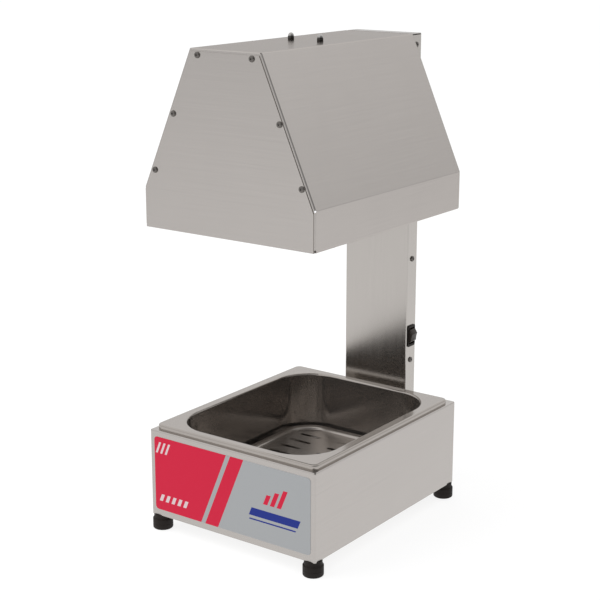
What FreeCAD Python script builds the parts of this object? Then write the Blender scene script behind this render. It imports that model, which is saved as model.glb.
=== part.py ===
# Chip warmer: folded casing with a lift-out pan, box column and an infrared hood.
# Millimetres, +Z up, +X to the right, the labelled front faces -Y, feet stand on Z = 0.
import FreeCAD, Part
import math
import os

os.makedirs("parts", exist_ok=True)

Vec = FreeCAD.Vector
X_AXIS = Vec(1, 0, 0)
Y_AXIS = Vec(0, 1, 0)
Z_AXIS = Vec(0, 0, 1)
ORIGIN = Vec(0, 0, 0)
SIDES = (-1, 1)

# Sheet stock and clearances
sheet_t = 1.0
bend_r = 1.8
slide_gap = 0.3
hole_gap = 0.15
running_gap = 0.05
wire_gap = 0.35
overrun = 4.0
match_tol = 0.01
head_crown_share = 0.6

# Base casing: its top leaves a ledge on each side of the pan's rim
casing_ledge_left = 6.0
casing_ledge_right = 4.0
casing_ledge_front = 5.0
casing_ledge_back = 13.0
casing_h = 122.5
casing_flange_w = 20.0
flange_end_gap = 0.6
corner_relief_r = 1.1
well_gap = 3.4

# Feet and their fixings
foot_h = 21.5
foot_d = 27.7
foot_edge_r = 2.0
foot_collar_d = 24.2
foot_collar_h = 6.5
foot_shoulder_r = 1.0
foot_inset = 10.0
foot_socket_d = 12.4
foot_socket_depth = 9.0
foot_screw_d = 6.0
foot_screw_head_d = 10.0
foot_screw_head_h = 5.0
foot_washer_d = 12.0
foot_washer_t = 1.2
foot_nut_af = 10.0
foot_nut_h = 5.0
foot_screw_tip = 1.0

# Front label
label_side_gap = 7.0
label_top_gap = 8.5
label_rise = 9.0
label_r = 5.0
label_t = 0.3

# Pan: outside of the rim is the gastronorm half size
pan_w = 265.0
pan_d = 325.0
pan_depth = 100.0
pan_t = 0.8
pan_rim_h = 7.3
pan_rim_corner_r = 9.0
pan_rim_edge_r = 2.6
pan_flange_side_w = 14.5
pan_flange_end_w = 12.75
pan_mouth_corner_r = 56.0
pan_mouth_edge_r = 2.8
pan_wall_lean = 6.0
pan_floor_edge_r = 9.0

# Drain plate: its slotted base lies in an upturned rim and stands on two welded runners
drain_t = 0.8
drain_rise = 15.5
drain_rim_h = 6.5
drain_edge_r = 6.5
drain_gap = 7.0
drain_runner_l = 150.0
drain_runner_t = 3.0
slot_l = 37.0
slot_w = 6.5
slot_pitch_x = 67.0
slot_pitch_y = 26.3
slot_columns = 3
slot_rows = 9

# Column
column_w = 106.5
column_d = 24.0
column_lift = 12.0
cap_slit = 1.3
cover_gap = 0.25
cover_tab_l = 30.0
cover_tab_d = 16.0
side_screw_shares = (0.247, 0.489, 0.975)
side_screw_d = 3.9
side_screw_head_d = 8.0
side_screw_head_h = 2.3
side_screw_l = 6.0

# Bolts from the column to the casing and to the hood
bolt_d = 5.0
bolt_head_af = 8.0
bolt_head_h = 3.4
bolt_nut_af = 8.0
bolt_nut_h = 4.0
bolt_tip = 1.0
bolt_spacing_x = 70.0
casing_bolt_low = 28.0
casing_bolt_high = 95.0
hood_bolt_shares = (0.3, 0.78)

# Rocker switch on the column's right side
switch_rise = 203.2
bezel_l = 31.8
bezel_w = 19.0
bezel_t = 2.0
bezel_corner_r = 3.0
bezel_edge = 0.8
housing_l = 27.0
housing_w = 16.4
housing_depth = 22.0
rocker_w = 14.0
rocker_half_l = 11.0
rocker_end_out = 3.6
rocker_peak_out = 8.4
rocker_peak_half = 5.4
rocker_valley_out = 7.7
rocker_root_in = 1.5
rocker_root_half = 10.2
rocker_keel_in = 3.0
rocker_keel_half = 4.0
rocker_pivot_depth = 2.0
rocker_pin_d = 3.0
rocker_pin_reach = 0.8
rocker_swing_gap = 0.8
rocker_rest_deg = 10.0
blade_l = 8.0
blade_w = 6.3
blade_t = 0.8
blade_pitch = 12.0

# Cord entry
gland_rise = 60.0
gland_bore_d = 7.4
gland_flange_d = 20.0
gland_flange_t = 3.0
gland_shoulder_d = 17.2
gland_nose_d = 14.5
gland_nose_l = 12.0
gland_body_d = 12.5
gland_inner_l = 7.0
gland_nut_af = 19.0
gland_nut_h = 4.0

# Terminal block and earth stud inside the column
block_rise = 84.0
block_w = 34.0
block_h = 17.0
block_d = 13.0
block_ways = 3
block_pitch = 10.0
block_entry_d = 3.3
block_entry_depth = 6.0
block_screw_d = 3.5
block_screw_l = 4.5
block_fix_d = 2.5
block_fix_head_d = 4.4
block_fix_head_h = 1.4
block_clamp_share = 0.26
earth_rise = 111.0
earth_offset = 18.0
earth_stud_d = 4.0
earth_stud_l = 11.0
earth_nut_af = 7.0
earth_nut_h = 3.2

# Hood
serving_h = 280.5
hood_w = 272.0
hood_top_w = 111.4
hood_skirt_h = 52.0
hood_slope_h = 182.5
hood_bend_r = 2.2
hood_flange_w = 16.0
hood_lip_w = 12.0
end_panel_inset = 3.7
end_panel_side_inset = 2.4
end_panel_edge_r = 0.8
hood_knee_relief_r = 1.4
hood_top_relief_r = 0.8
hood_screw_shares = (0.149, 0.573)
hood_screw_d = 3.9
hood_screw_head_d = 8.0
hood_screw_head_h = 2.4
hood_screw_l = 8.0

# Reflector and what hangs it from the hood's top
reflector_t = 0.8
reflector_drop = 45.0
reflector_side_gap = 24.0
reflector_h = 112.0
reflector_lip_w = 10.0
reflector_end_gap = 15.0
stud_spacing = 46.8
stud_forward = 4.0
stud_d = 5.0
stud_tip = 1.5
acorn_af = 8.0
acorn_hex_h = 5.0
acorn_h = 9.5
acorn_bore_depth = 7.0
spacer_d = 9.0
stud_nut_af = 8.0
stud_nut_h = 4.0

# Heating element
tube_d = 8.5
element_pitch = 44.0
element_drop = 34.0
element_front_gap = 42.0
element_rear_gap = 50.0
element_turn_r = 20.0
element_rise_r = 14.0
element_cold_h = 13.0
bracket_t = 1.2
bracket_w = 14.0
bracket_l = 66.0
bracket_below = 5.0
bracket_front_share = 0.16
bracket_rear_share = 0.78
bracket_screw_d = 4.0
bracket_screw_head_d = 7.0
bracket_screw_head_h = 2.2
bracket_nut_af = 7.0
bracket_nut_h = 3.2
bushing_thread_d = 11.0
bushing_flange_af = 15.0
bushing_flange_t = 3.0
bushing_l = 9.0
bushing_nut_h = 3.0
insulator_d = 9.0
insulator_h = 7.0
pin_d = 3.0
pin_l = 16.0
pin_nut_af = 6.0
pin_nut_h = 2.4

# Wires and the grommet that they pass through
wire_d = 2.6
grommet_d = 17.0
grommet_bore_d = 9.0
grommet_hole_d = 12.0
grommet_lip_t = 1.6
grommet_below_top = 31.0
wire_bend_share = 0.45
wire_bend_reach = 8.0

# Places worked out from the sizes above
casing_w = pan_w + casing_ledge_left + casing_ledge_right
casing_d = pan_d + casing_ledge_front + casing_ledge_back
label_w = casing_w - 2 * label_side_gap
label_h = casing_h - label_rise - label_top_gap
casing_z = foot_h
casing_top = casing_z + casing_h
front_overhang = max(foot_d / 2 - foot_inset, hood_screw_head_h, label_t)
overall_d = front_overhang + casing_d + column_d + gland_nose_l
front_y = front_overhang - overall_d / 2
back_y = front_y + casing_d
casing_mid_y = (front_y + back_y) / 2
column_back = back_y + column_d
column_bottom = casing_z + column_lift
column_mid_y = back_y + column_d / 2
hood_bottom = casing_top + serving_h
hood_knee = hood_bottom + hood_skirt_h
hood_top = hood_knee + hood_slope_h
column_side_x = column_w / 2
column_side_top = hood_top - sheet_t - cap_slit
slope_angle = math.atan2((hood_w - hood_top_w) / 2, hood_slope_h)

pan_x = (casing_ledge_left - casing_ledge_right) / 2
pan_y = front_y + casing_ledge_front + pan_d / 2
pan_mouth_w = pan_w - 2 * pan_flange_side_w
pan_mouth_d = pan_d - 2 * pan_flange_end_w
pan_floor_w = pan_mouth_w - 2 * pan_wall_lean
pan_floor_d = pan_mouth_d - 2 * pan_wall_lean
pan_floor_corner_r = pan_mouth_corner_r - pan_wall_lean
pan_top = casing_top + pan_rim_h
pan_bottom = pan_top - pan_depth
pan_floor = pan_bottom + pan_t

reflector_top = hood_top - reflector_drop
reflector_front = front_y + 2 * sheet_t + reflector_end_gap
reflector_rear = back_y - 2 * sheet_t - reflector_end_gap
reflector_bottom = reflector_top - reflector_h
stud_y = casing_mid_y - stud_forward

element_z = reflector_top - element_drop
element_front = reflector_front + element_front_gap
element_rear = reflector_rear - element_rear_gap
tube_end = reflector_top + element_cold_h

switch_z = casing_z + switch_rise
pivot_x = column_side_x - rocker_pivot_depth
blade_root_x = column_side_x - housing_depth
blade_tip_x = blade_root_x - blade_l
grommet_z = hood_top - grommet_below_top
block_z = casing_z + block_rise
earth_z = casing_z + earth_rise
inner_wall_y = back_y + sheet_t
cover_inner_y = column_back - sheet_t


def box(x0, x1, y0, y1, z0, z1):
    """Block between six planes."""
    return Part.makeBox(x1 - x0, y1 - y0, z1 - z0, Vec(x0, y0, z0))


def rod(radius, length, base, axis):
    """Cylinder from base along axis."""
    return Part.makeCylinder(radius, length, base, axis)


def ring(outer_r, inner_r, length, base, axis):
    """Tube from base along axis."""
    return rod(outer_r, length, base, axis).cut(rod(inner_r, length, base, axis))


def facing(shape, at, axis):
    """Turn a shape made along +Z so that it points along axis, and set it at a point."""
    turned = shape.copy()
    turned.Placement = FreeCAD.Placement(at, FreeCAD.Rotation(Z_AXIS, axis))
    return turned


def hexagon(across_flats, height):
    """Hexagonal prism on Z = 0."""
    radius = across_flats / math.sqrt(3)
    corners = [Vec(radius * math.cos(math.radians(60 * i)), radius * math.sin(math.radians(60 * i)), 0)
               for i in range(6)]
    face = Part.Face(Part.makePolygon(corners + [corners[0]]))
    return face.extrude(Z_AXIS * height)


def nut(across_flats, height, thread_d, at, axis):
    """Plain hexagon nut with its lower face at a point."""
    body = hexagon(across_flats, height)
    body = body.cut(rod(thread_d / 2 + running_gap, height, ORIGIN, Z_AXIS))
    return facing(body, at, axis)


def dome_screw(head_d, head_h, shank_d, shank_l, at, axis):
    """Screw with a low domed head; its head's underside lies at a point, the shank goes the other way."""
    head_r = head_d / 2
    crown_h = head_h * head_crown_share
    crown_r = (head_r ** 2 + crown_h ** 2) / (2 * crown_h)
    crown = Part.makeSphere(crown_r, Z_AXIS * (head_h - crown_r), X_AXIS)
    head = rod(head_r, head_h, ORIGIN, Z_AXIS).common(crown)
    body = head.fuse(rod(shank_d / 2, shank_l, ORIGIN, -Z_AXIS))
    return facing(body, at, axis)


def hex_bolt(across_flats, head_h, shank_d, shank_l, at, axis):
    """Hexagon bolt; its head's underside lies at a point, the shank goes the other way."""
    body = hexagon(across_flats, head_h).fuse(rod(shank_d / 2, shank_l, ORIGIN, -Z_AXIS))
    return facing(body, at, axis)


def rounded_outline(width, depth, corner_r, z, mid_y):
    """Rectangle with round corners in a level plane, as one wire."""
    half_w = width / 2
    half_d = depth / 2
    pull = corner_r * (1 - math.cos(math.radians(45)))
    edges = []
    last = None
    first = None
    for sx, sy, along_y in ((1, 1, True), (-1, 1, False), (-1, -1, True), (1, -1, False)):
        side = Vec(sx * half_w, mid_y + sy * (half_d - corner_r), z)
        end = Vec(sx * (half_w - corner_r), mid_y + sy * half_d, z)
        mid = Vec(sx * (half_w - pull), mid_y + sy * (half_d - pull), z)
        start, stop = (side, end) if along_y else (end, side)
        if last is not None:
            edges.append(Part.makeLine(last, start))
        else:
            first = start
        edges.append(Part.Arc(start, mid, stop).toShape())
        last = stop
    edges.append(Part.makeLine(last, first))
    return Part.Wire(edges)


def rounded_block(width, depth, corner_r, z0, z1, mid_y):
    """Upright block with round corners."""
    face = Part.Face(rounded_outline(width, depth, corner_r, z0, mid_y))
    return face.extrude(Z_AXIS * (z1 - z0))


def level_edges(shape, z):
    """Edges that lie in one level plane."""
    return [e for e in shape.Edges
            if abs(e.CenterOfMass.z - z) < match_tol
            and all(abs(v.Z - z) < match_tol for v in e.Vertexes)]


def level_edges_at_y(shape, z, y):
    """Edges in one level plane that run across at one depth."""
    return [e for e in level_edges(shape, z) if abs(e.CenterOfMass.y - y) < match_tol]


def upright_edges(shape):
    """Straight edges parallel to Z."""
    found = []
    for e in shape.Edges:
        a = e.Vertexes[0].Point
        b = e.Vertexes[-1].Point
        if abs(a.z - b.z) > match_tol and (a - b).cross(Z_AXIS).Length < match_tol:
            found.append(e)
    return found


def prism_y(points, y0, y1):
    """Closed outline in X and Z, drawn out from y0 to y1."""
    corners = [Vec(x, y0, z) for x, z in points]
    face = Part.Face(Part.makePolygon(corners + [corners[0]]))
    return face.extrude(Y_AXIS * (y1 - y0))


def bent_path(points, radii):
    """Straight runs joined by tangent arcs, as one wire."""
    edges = []
    last = points[0]
    for i in range(1, len(points) - 1):
        corner = points[i]
        back = (points[i - 1] - corner).normalize()
        ahead = (points[i + 1] - corner).normalize()
        half_turn = (math.pi - back.getAngle(ahead)) / 2
        trim = radii[i - 1] * math.tan(half_turn)
        start = corner + back * trim
        stop = corner + ahead * trim
        bisector = (back + ahead).normalize()
        mid = corner + bisector * (radii[i - 1] / math.cos(half_turn) - radii[i - 1])
        edges.append(Part.makeLine(last, start))
        edges.append(Part.Arc(start, mid, stop).toShape())
        last = stop
    edges.append(Part.makeLine(last, points[-1]))
    return Part.Wire(edges)


def tube_along(points, radii, diameter):
    """Solid round bar along a bent path."""
    path = bent_path(points, radii)
    direction = points[1] - points[0]
    profile = Part.Wire([Part.makeCircle(diameter / 2, points[0], direction)])
    return path.makePipeShell([profile], True, False)


def wire_tube(points):
    """Insulated wire: each bend takes up what its two runs and the space round it allow."""
    radii = []
    for i in range(1, len(points) - 1):
        back = points[i - 1] - points[i]
        ahead = points[i + 1] - points[i]
        half_turn = (math.pi - back.getAngle(ahead)) / 2
        reach = min(wire_bend_share * min(back.Length, ahead.Length), wire_bend_reach)
        radii.append(reach / math.tan(half_turn))
    return tube_along(points, radii, wire_d)


def export(name, shape):
    """Write one node and say what it holds."""
    if not shape.isValid():
        print("INVALID", name)
    print(name, len(shape.Solids), "solids", round(shape.Volume, 1), "mm3")
    shape.exportStep("parts/" + name + ".step")


def foot_centres():
    """Name and centre of each foot on the floor."""
    places = []
    for side_name, sx in (("left", -1), ("right", 1)):
        x = sx * (casing_w / 2 - foot_inset)
        places.append(("foot_front_" + side_name, Vec(x, front_y + foot_inset, 0)))
        places.append(("foot_rear_" + side_name, Vec(x, back_y - foot_inset, 0)))
    return places


def casing_bolt_points():
    """Where bolts cross the casing's rear wall into the column."""
    return [Vec(sx * bolt_spacing_x / 2, back_y, casing_z + rise)
            for sx in SIDES for rise in (casing_bolt_low, casing_bolt_high)]


def hood_bolt_points():
    """Where bolts cross the hood's rear panel into the column."""
    height = hood_top - hood_bottom
    return [Vec(sx * bolt_spacing_x / 2, back_y, hood_bottom + share * height)
            for sx in SIDES for share in hood_bolt_shares]


def side_screw_heights():
    """Levels of the screws down the column's sides."""
    return [column_bottom + share * (hood_top - column_bottom) for share in side_screw_shares]


def well_size():
    """Width, depth and corner radius of the casing's opening round the pan."""
    extra = pan_t + well_gap
    return pan_mouth_w + 2 * extra, pan_mouth_d + 2 * extra, pan_mouth_corner_r + extra


def make_casing():
    """Folded casing: five walls, inward flanges under them, round-cornered opening on top."""
    outer = box(-casing_w / 2, casing_w / 2, front_y, back_y, casing_z, casing_top)
    outer = outer.makeFillet(bend_r, upright_edges(outer) + level_edges(outer, casing_top))
    inner = box(-casing_w / 2 + sheet_t, casing_w / 2 - sheet_t, front_y + sheet_t, back_y - sheet_t,
                casing_z - overrun, casing_top - sheet_t)
    folds = upright_edges(inner) + level_edges(inner, casing_top - sheet_t)
    inner = inner.makeFillet(bend_r - sheet_t, folds)
    casing = outer.cut(inner)

    # Inward flanges: the side ones run the whole depth and carry the feet, the others fit between them
    slab = outer.common(box(-casing_w, casing_w, front_y, back_y, casing_z, casing_z + sheet_t))
    side_x = casing_w / 2 - casing_flange_w
    side_slab = slab.cut(box(-side_x, side_x, front_y - overrun, back_y + overrun,
                             casing_z - overrun, casing_top))
    end_slab = slab.common(box(-side_x + flange_end_gap, side_x - flange_end_gap, front_y, back_y,
                               casing_z, casing_top))
    end_slab = end_slab.cut(box(-casing_w, casing_w, front_y + casing_flange_w, back_y - casing_flange_w,
                                casing_z - overrun, casing_top))
    casing = casing.fuse([side_slab, end_slab])

    width, depth, radius = well_size()
    well = rounded_block(width, depth, radius, casing_top - overrun, casing_top + overrun, pan_y)
    well.translate(X_AXIS * pan_x)
    casing = casing.cut(well)

    holes = [rod(foot_screw_d / 2 + hole_gap, 2 * overrun, at + Z_AXIS * (casing_z - overrun), Z_AXIS)
             for _, at in foot_centres()]
    holes += [rod(bolt_d / 2 + hole_gap, 2 * overrun, at - Y_AXIS * overrun, Y_AXIS)
              for at in casing_bolt_points()]
    for sx in SIDES:
        for sy, corner_y in ((-1, front_y), (1, back_y)):
            outward = Vec(sx, sy, 1).normalize()
            corner = Vec(sx * casing_w / 2, corner_y, casing_top)
            holes.append(rod(corner_relief_r, 2 * overrun, corner - outward * overrun, outward))
    return casing.cut(holes).removeSplitter()


def make_foot(at):
    """Two-step rubber foot with a round lower edge and a socket for its screw."""
    radius = foot_d / 2
    collar_r = foot_collar_d / 2
    step_z = foot_h - foot_collar_h
    socket_r = foot_socket_d / 2
    bore_r = foot_screw_d / 2 + hole_gap
    lean = 1 - math.cos(math.radians(45))
    edge_mid = Vec(radius - foot_edge_r * lean, 0, foot_edge_r * lean)
    shoulder_mid = Vec(radius - foot_shoulder_r * lean, 0, step_z - foot_shoulder_r * lean)
    line = Part.makeLine
    outline = [
        line(Vec(socket_r, 0, 0), Vec(radius - foot_edge_r, 0, 0)),
        Part.Arc(Vec(radius - foot_edge_r, 0, 0), edge_mid, Vec(radius, 0, foot_edge_r)).toShape(),
        line(Vec(radius, 0, foot_edge_r), Vec(radius, 0, step_z - foot_shoulder_r)),
        Part.Arc(Vec(radius, 0, step_z - foot_shoulder_r), shoulder_mid,
                 Vec(radius - foot_shoulder_r, 0, step_z)).toShape(),
        line(Vec(radius - foot_shoulder_r, 0, step_z), Vec(collar_r, 0, step_z)),
        line(Vec(collar_r, 0, step_z), Vec(collar_r, 0, foot_h)),
        line(Vec(collar_r, 0, foot_h), Vec(bore_r, 0, foot_h)),
        line(Vec(bore_r, 0, foot_h), Vec(bore_r, 0, foot_socket_depth)),
        line(Vec(bore_r, 0, foot_socket_depth), Vec(socket_r, 0, foot_socket_depth)),
        line(Vec(socket_r, 0, foot_socket_depth), Vec(socket_r, 0, 0)),
    ]
    body = Part.Face(Part.Wire(outline)).revolve(ORIGIN, Z_AXIS, 360)
    body.translate(at)
    return body


def make_foot_fixings():
    """Screws from below through feet and flanges, with washers and nuts inside the casing."""
    screws = []
    washers = []
    nuts = []
    washer_z = casing_z + sheet_t
    nut_z = washer_z + foot_washer_t
    shank_l = nut_z + foot_nut_h + foot_screw_tip - foot_socket_depth
    for _, at in foot_centres():
        head_at = at + Z_AXIS * foot_socket_depth
        head = rod(foot_screw_head_d / 2, foot_screw_head_h, head_at, -Z_AXIS)
        screws.append(head.fuse(rod(foot_screw_d / 2, shank_l, head_at, Z_AXIS)))
        washers.append(ring(foot_washer_d / 2, foot_screw_d / 2 + hole_gap, foot_washer_t,
                            at + Z_AXIS * washer_z, Z_AXIS))
        nuts.append(nut(foot_nut_af, foot_nut_h, foot_screw_d, at + Z_AXIS * nut_z, Z_AXIS))
    return Part.makeCompound(screws), Part.makeCompound(washers), Part.makeCompound(nuts)


def make_label():
    """Thin printed sheet on the casing's front."""
    flat = rounded_block(label_w, label_h, label_r, 0, label_t, 0)
    flat.rotate(ORIGIN, X_AXIS, 90)
    flat.translate(Vec(0, front_y, casing_z + label_rise + label_h / 2))
    return flat


def pan_section(z, grow):
    """Width, depth and corner radius of the pan's inner wall at a level, grown by a wall."""
    share = (z - pan_floor) / (pan_top - pan_floor)
    width = pan_floor_w + (pan_mouth_w - pan_floor_w) * share
    depth = pan_floor_d + (pan_mouth_d - pan_floor_d) * share
    radius = pan_floor_corner_r + (pan_mouth_corner_r - pan_floor_corner_r) * share
    return width + 2 * grow, depth + 2 * grow, radius + grow


def pan_well(z0, z1, grow):
    """Tapered well between two levels."""
    low = rounded_outline(*pan_section(z0, grow), z0, pan_y)
    high = rounded_outline(*pan_section(z1, grow), z1, pan_y)
    return Part.makeLoft([low, high], True, True)


def make_pan():
    """Deep-drawn pan: tapered well with a round floor edge, level flange, turned-down rim."""
    rim_low = pan_top - pan_rim_h
    rim = rounded_block(pan_w, pan_d, pan_rim_corner_r, rim_low, pan_top, pan_y)
    rim = rim.makeFillet(pan_rim_edge_r, level_edges(rim, pan_top))
    well_outer = pan_well(pan_bottom, pan_top - pan_t, pan_t)
    well_outer = well_outer.makeFillet(pan_floor_edge_r + pan_t, level_edges(well_outer, pan_bottom))
    well_inner = pan_well(pan_floor, pan_top + overrun, 0)
    well_inner = well_inner.makeFillet(pan_floor_edge_r, level_edges(well_inner, pan_floor))
    body = rim.fuse(well_outer).cut(well_inner)
    reach_x = pan_mouth_w / 2 + match_tol
    reach_y = pan_mouth_d / 2 + match_tol
    mouth = [e for e in level_edges(body, pan_top)
             if all(abs(v.X) < reach_x and abs(v.Y - pan_y) < reach_y for v in e.Vertexes)]
    body = body.makeFillet(pan_mouth_edge_r, mouth)

    # The hollow under the flange follows the flange's outer and inner curves at one wall's distance
    under_top = pan_top - pan_t
    under = rounded_block(pan_w - 2 * pan_t, pan_d - 2 * pan_t, pan_rim_corner_r - pan_t,
                          rim_low - overrun, under_top, pan_y)
    under = under.makeFillet(pan_rim_edge_r - pan_t, level_edges(under, under_top))
    under = under.cut(pan_well(pan_bottom, pan_top + overrun, pan_t))
    reach_w, reach_d, _ = pan_section(under_top, pan_t + match_tol)
    inner_loop = [e for e in level_edges(under, under_top)
                  if all(abs(v.X) < reach_w / 2 and abs(v.Y - pan_y) < reach_d / 2 for v in e.Vertexes)]
    under = under.makeFillet(pan_mouth_edge_r - pan_t, inner_loop)
    pan = body.cut(under)
    pan.translate(X_AXIS * pan_x)
    return pan


def make_drain_plate():
    """Shallow slotted plate with an upturned rim, on two runners that stand on the pan's floor."""
    width = pan_floor_w - 2 * drain_gap
    depth = pan_floor_d - 2 * drain_gap
    radius = pan_floor_corner_r - drain_gap
    top = pan_floor + drain_rise
    under = top - drain_t
    outer = rounded_block(width, depth, radius, under, top + drain_rim_h, pan_y)
    outer = outer.makeFillet(drain_edge_r, level_edges(outer, under))
    inner = rounded_block(width - 2 * drain_t, depth - 2 * drain_t, radius - drain_t,
                          top, top + drain_rim_h + overrun, pan_y)
    inner = inner.makeFillet(drain_edge_r - drain_t, level_edges(inner, top))
    plate = outer.cut(inner)
    runner_y = (slot_rows / 2 - 1) * slot_pitch_y
    for side in SIDES:
        y = pan_y + side * runner_y
        plate = plate.fuse(box(-drain_runner_l / 2, drain_runner_l / 2,
                               y - drain_runner_t / 2, y + drain_runner_t / 2, pan_floor, under))
    end_r = slot_w / 2 - match_tol
    slots = []
    for column in range(slot_columns):
        for row in range(slot_rows):
            x = (column - (slot_columns - 1) / 2) * slot_pitch_x
            y = (row - (slot_rows - 1) / 2) * slot_pitch_y
            slot = rounded_block(slot_l, slot_w, end_r, under - overrun, top + overrun, pan_y)
            slot.translate(Vec(x, y, 0))
            slots.append(slot)
    plate = plate.cut(slots)
    plate.translate(X_AXIS * pan_x)
    return plate


def make_column_channel():
    """Front and sides of the column, folded from one sheet, open at the back."""
    outer = box(-column_side_x, column_side_x, back_y, column_back, column_bottom, column_side_top)
    front_edges = [e for e in upright_edges(outer) if abs(e.CenterOfMass.y - back_y) < match_tol]
    outer = outer.makeFillet(bend_r, front_edges)
    inner = box(-column_side_x + sheet_t, column_side_x - sheet_t, inner_wall_y, column_back + overrun,
                column_bottom - overrun, column_side_top + overrun)
    front_edges = [e for e in upright_edges(inner) if abs(e.CenterOfMass.y - inner_wall_y) < match_tol]
    inner = inner.makeFillet(bend_r - sheet_t, front_edges)
    channel = outer.cut(inner)

    holes = [rod(bolt_d / 2 + hole_gap, 2 * overrun, at - Y_AXIS * overrun, Y_AXIS)
             for at in casing_bolt_points() + hood_bolt_points()]
    holes.append(rod(grommet_hole_d / 2, 2 * overrun, Vec(0, back_y - overrun, grommet_z), Y_AXIS))
    holes += [rod(block_fix_d / 2 + hole_gap, 2 * overrun, at - Y_AXIS * overrun, Y_AXIS)
              for at in block_fix_points()]
    for sx in SIDES:
        for z in side_screw_heights():
            holes.append(rod(side_screw_d / 2 + hole_gap, 2 * overrun,
                             Vec(sx * column_side_x - overrun, column_mid_y, z), X_AXIS))
    cutout = box(column_side_x - overrun, column_side_x + overrun,
                 column_mid_y - housing_w / 2 - slide_gap, column_mid_y + housing_w / 2 + slide_gap,
                 switch_z - housing_l / 2 - slide_gap, switch_z + housing_l / 2 + slide_gap)
    return channel.cut(holes + [cutout])


def make_column_cover():
    """Rear cover between the channel's sides, with screw tabs, a bottom flap and the top cap."""
    half = column_side_x - sheet_t - cover_gap
    flap_front = inner_wall_y + cover_gap
    cover = box(-half, half, flap_front, column_back, column_bottom, column_side_top)
    cover = cover.makeFillet(bend_r, level_edges_at_y(cover, column_bottom, column_back))
    hollow_low = column_bottom + sheet_t
    hollow = box(-column_w, column_w, back_y - overrun, cover_inner_y, hollow_low, hood_top)
    hollow = hollow.makeFillet(bend_r - sheet_t, level_edges_at_y(hollow, hollow_low, cover_inner_y))
    cover = cover.cut(hollow)
    cap = box(-column_side_x, column_side_x, back_y + cover_gap, column_back,
              column_side_top + cover_gap, hood_top)
    cap = cap.makeFillet(bend_r, level_edges_at_y(cap, hood_top, column_back))
    cap = cap.cut(box(-column_w, column_w, back_y, cover_inner_y, column_side_top, hood_top - sheet_t))
    neck = box(-half, half, cover_inner_y, column_back,
               column_side_top - sheet_t, column_side_top + 2 * cover_gap)
    tabs = []
    for sx in SIDES:
        for z in side_screw_heights():
            low = z - cover_tab_l / 2
            high = min(z + cover_tab_l / 2, column_side_top)
            x0, x1 = sorted((sx * half, sx * (half - sheet_t)))
            tab = box(x0, x1, column_back - cover_tab_d, column_back, low, high)
            hole = rod(side_screw_d / 2 + running_gap, 2 * overrun,
                       Vec(sx * half - overrun, column_mid_y, z), X_AXIS)
            tabs.append(tab.cut(hole))
    cover = cover.fuse([cap, neck] + tabs)
    gland_hole = rod(gland_body_d / 2 + hole_gap, 2 * overrun,
                     Vec(0, column_back - overrun, casing_z + gland_rise), Y_AXIS)
    return cover.cut(gland_hole).removeSplitter()


def make_column_screws():
    """Screws through the channel's sides into the cover's tabs."""
    screws = []
    for sx in SIDES:
        for z in side_screw_heights():
            screws.append(dome_screw(side_screw_head_d, side_screw_head_h, side_screw_d, side_screw_l,
                                     Vec(sx * column_side_x, column_mid_y, z), X_AXIS * sx))
    return Part.makeCompound(screws)


def make_bolts_and_nuts(points, sheets_ahead):
    """Bolts whose heads lie ahead of the column's front wall, with nuts inside the column."""
    bolts = []
    nuts = []
    grip = sheets_ahead * sheet_t + sheet_t
    for at in points:
        head_at = at - Y_AXIS * (sheets_ahead * sheet_t)
        length = grip + bolt_nut_h + bolt_tip
        bolts.append(hex_bolt(bolt_head_af, bolt_head_h, bolt_d, length, head_at, -Y_AXIS))
        nuts.append(nut(bolt_nut_af, bolt_nut_h, bolt_d, at + Y_AXIS * sheet_t, Y_AXIS))
    return Part.makeCompound(bolts), Part.makeCompound(nuts)


def make_switch_body():
    """Bezel with a chamfered face, housing behind it, open well for the rocker and two pin holes."""
    bezel = rounded_block(bezel_w, bezel_l, bezel_corner_r, 0, bezel_t, 0)
    bezel = bezel.makeChamfer(bezel_edge, level_edges(bezel, bezel_t))
    housing = rounded_block(housing_w, housing_l, bezel_corner_r, -housing_depth, 0, 0)
    body = bezel.fuse(housing)
    # Local X is the object's Y, local Y its Z and local Z its X
    body.transformShape(FreeCAD.Matrix(0, 0, 1, column_side_x,
                                       1, 0, 0, column_mid_y,
                                       0, 1, 0, switch_z,
                                       0, 0, 0, 1))
    swing_in = math.hypot(rocker_keel_in, rocker_keel_half)
    well_half_l = math.hypot(rocker_end_out, rocker_half_l) + slide_gap
    well = box(pivot_x - swing_in - rocker_swing_gap, column_side_x + overrun,
               column_mid_y - rocker_w / 2 - slide_gap, column_mid_y + rocker_w / 2 + slide_gap,
               switch_z - well_half_l, switch_z + well_half_l)
    pin_reach = rocker_w / 2 + slide_gap + rocker_pin_reach
    pins = rod(rocker_pin_d / 2 + running_gap, 2 * pin_reach,
               Vec(pivot_x, column_mid_y - pin_reach, switch_z), Y_AXIS)
    return body.cut([well, pins])


def make_rocker():
    """Rocker with two raised ends and a shallow valley, on a pin, tilted with its upper end out."""
    outline = [
        (rocker_end_out, rocker_half_l),
        (rocker_peak_out, rocker_peak_half),
        (rocker_valley_out, 0),
        (rocker_peak_out, -rocker_peak_half),
        (rocker_end_out, -rocker_half_l),
        (-rocker_root_in, -rocker_root_half),
        (-rocker_keel_in, -rocker_keel_half),
        (-rocker_keel_in, rocker_keel_half),
        (-rocker_root_in, rocker_root_half),
    ]
    points = [(pivot_x + out, switch_z + up) for out, up in outline]
    body = prism_y(points, column_mid_y - rocker_w / 2, column_mid_y + rocker_w / 2)
    pin_reach = rocker_w / 2 + slide_gap + rocker_pin_reach - running_gap
    pin = rod(rocker_pin_d / 2, 2 * pin_reach, Vec(pivot_x, column_mid_y - pin_reach, switch_z), Y_AXIS)
    rocker = body.fuse(pin)
    rocker.rotate(Vec(pivot_x, column_mid_y, switch_z), Y_AXIS, rocker_rest_deg)
    return rocker


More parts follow.
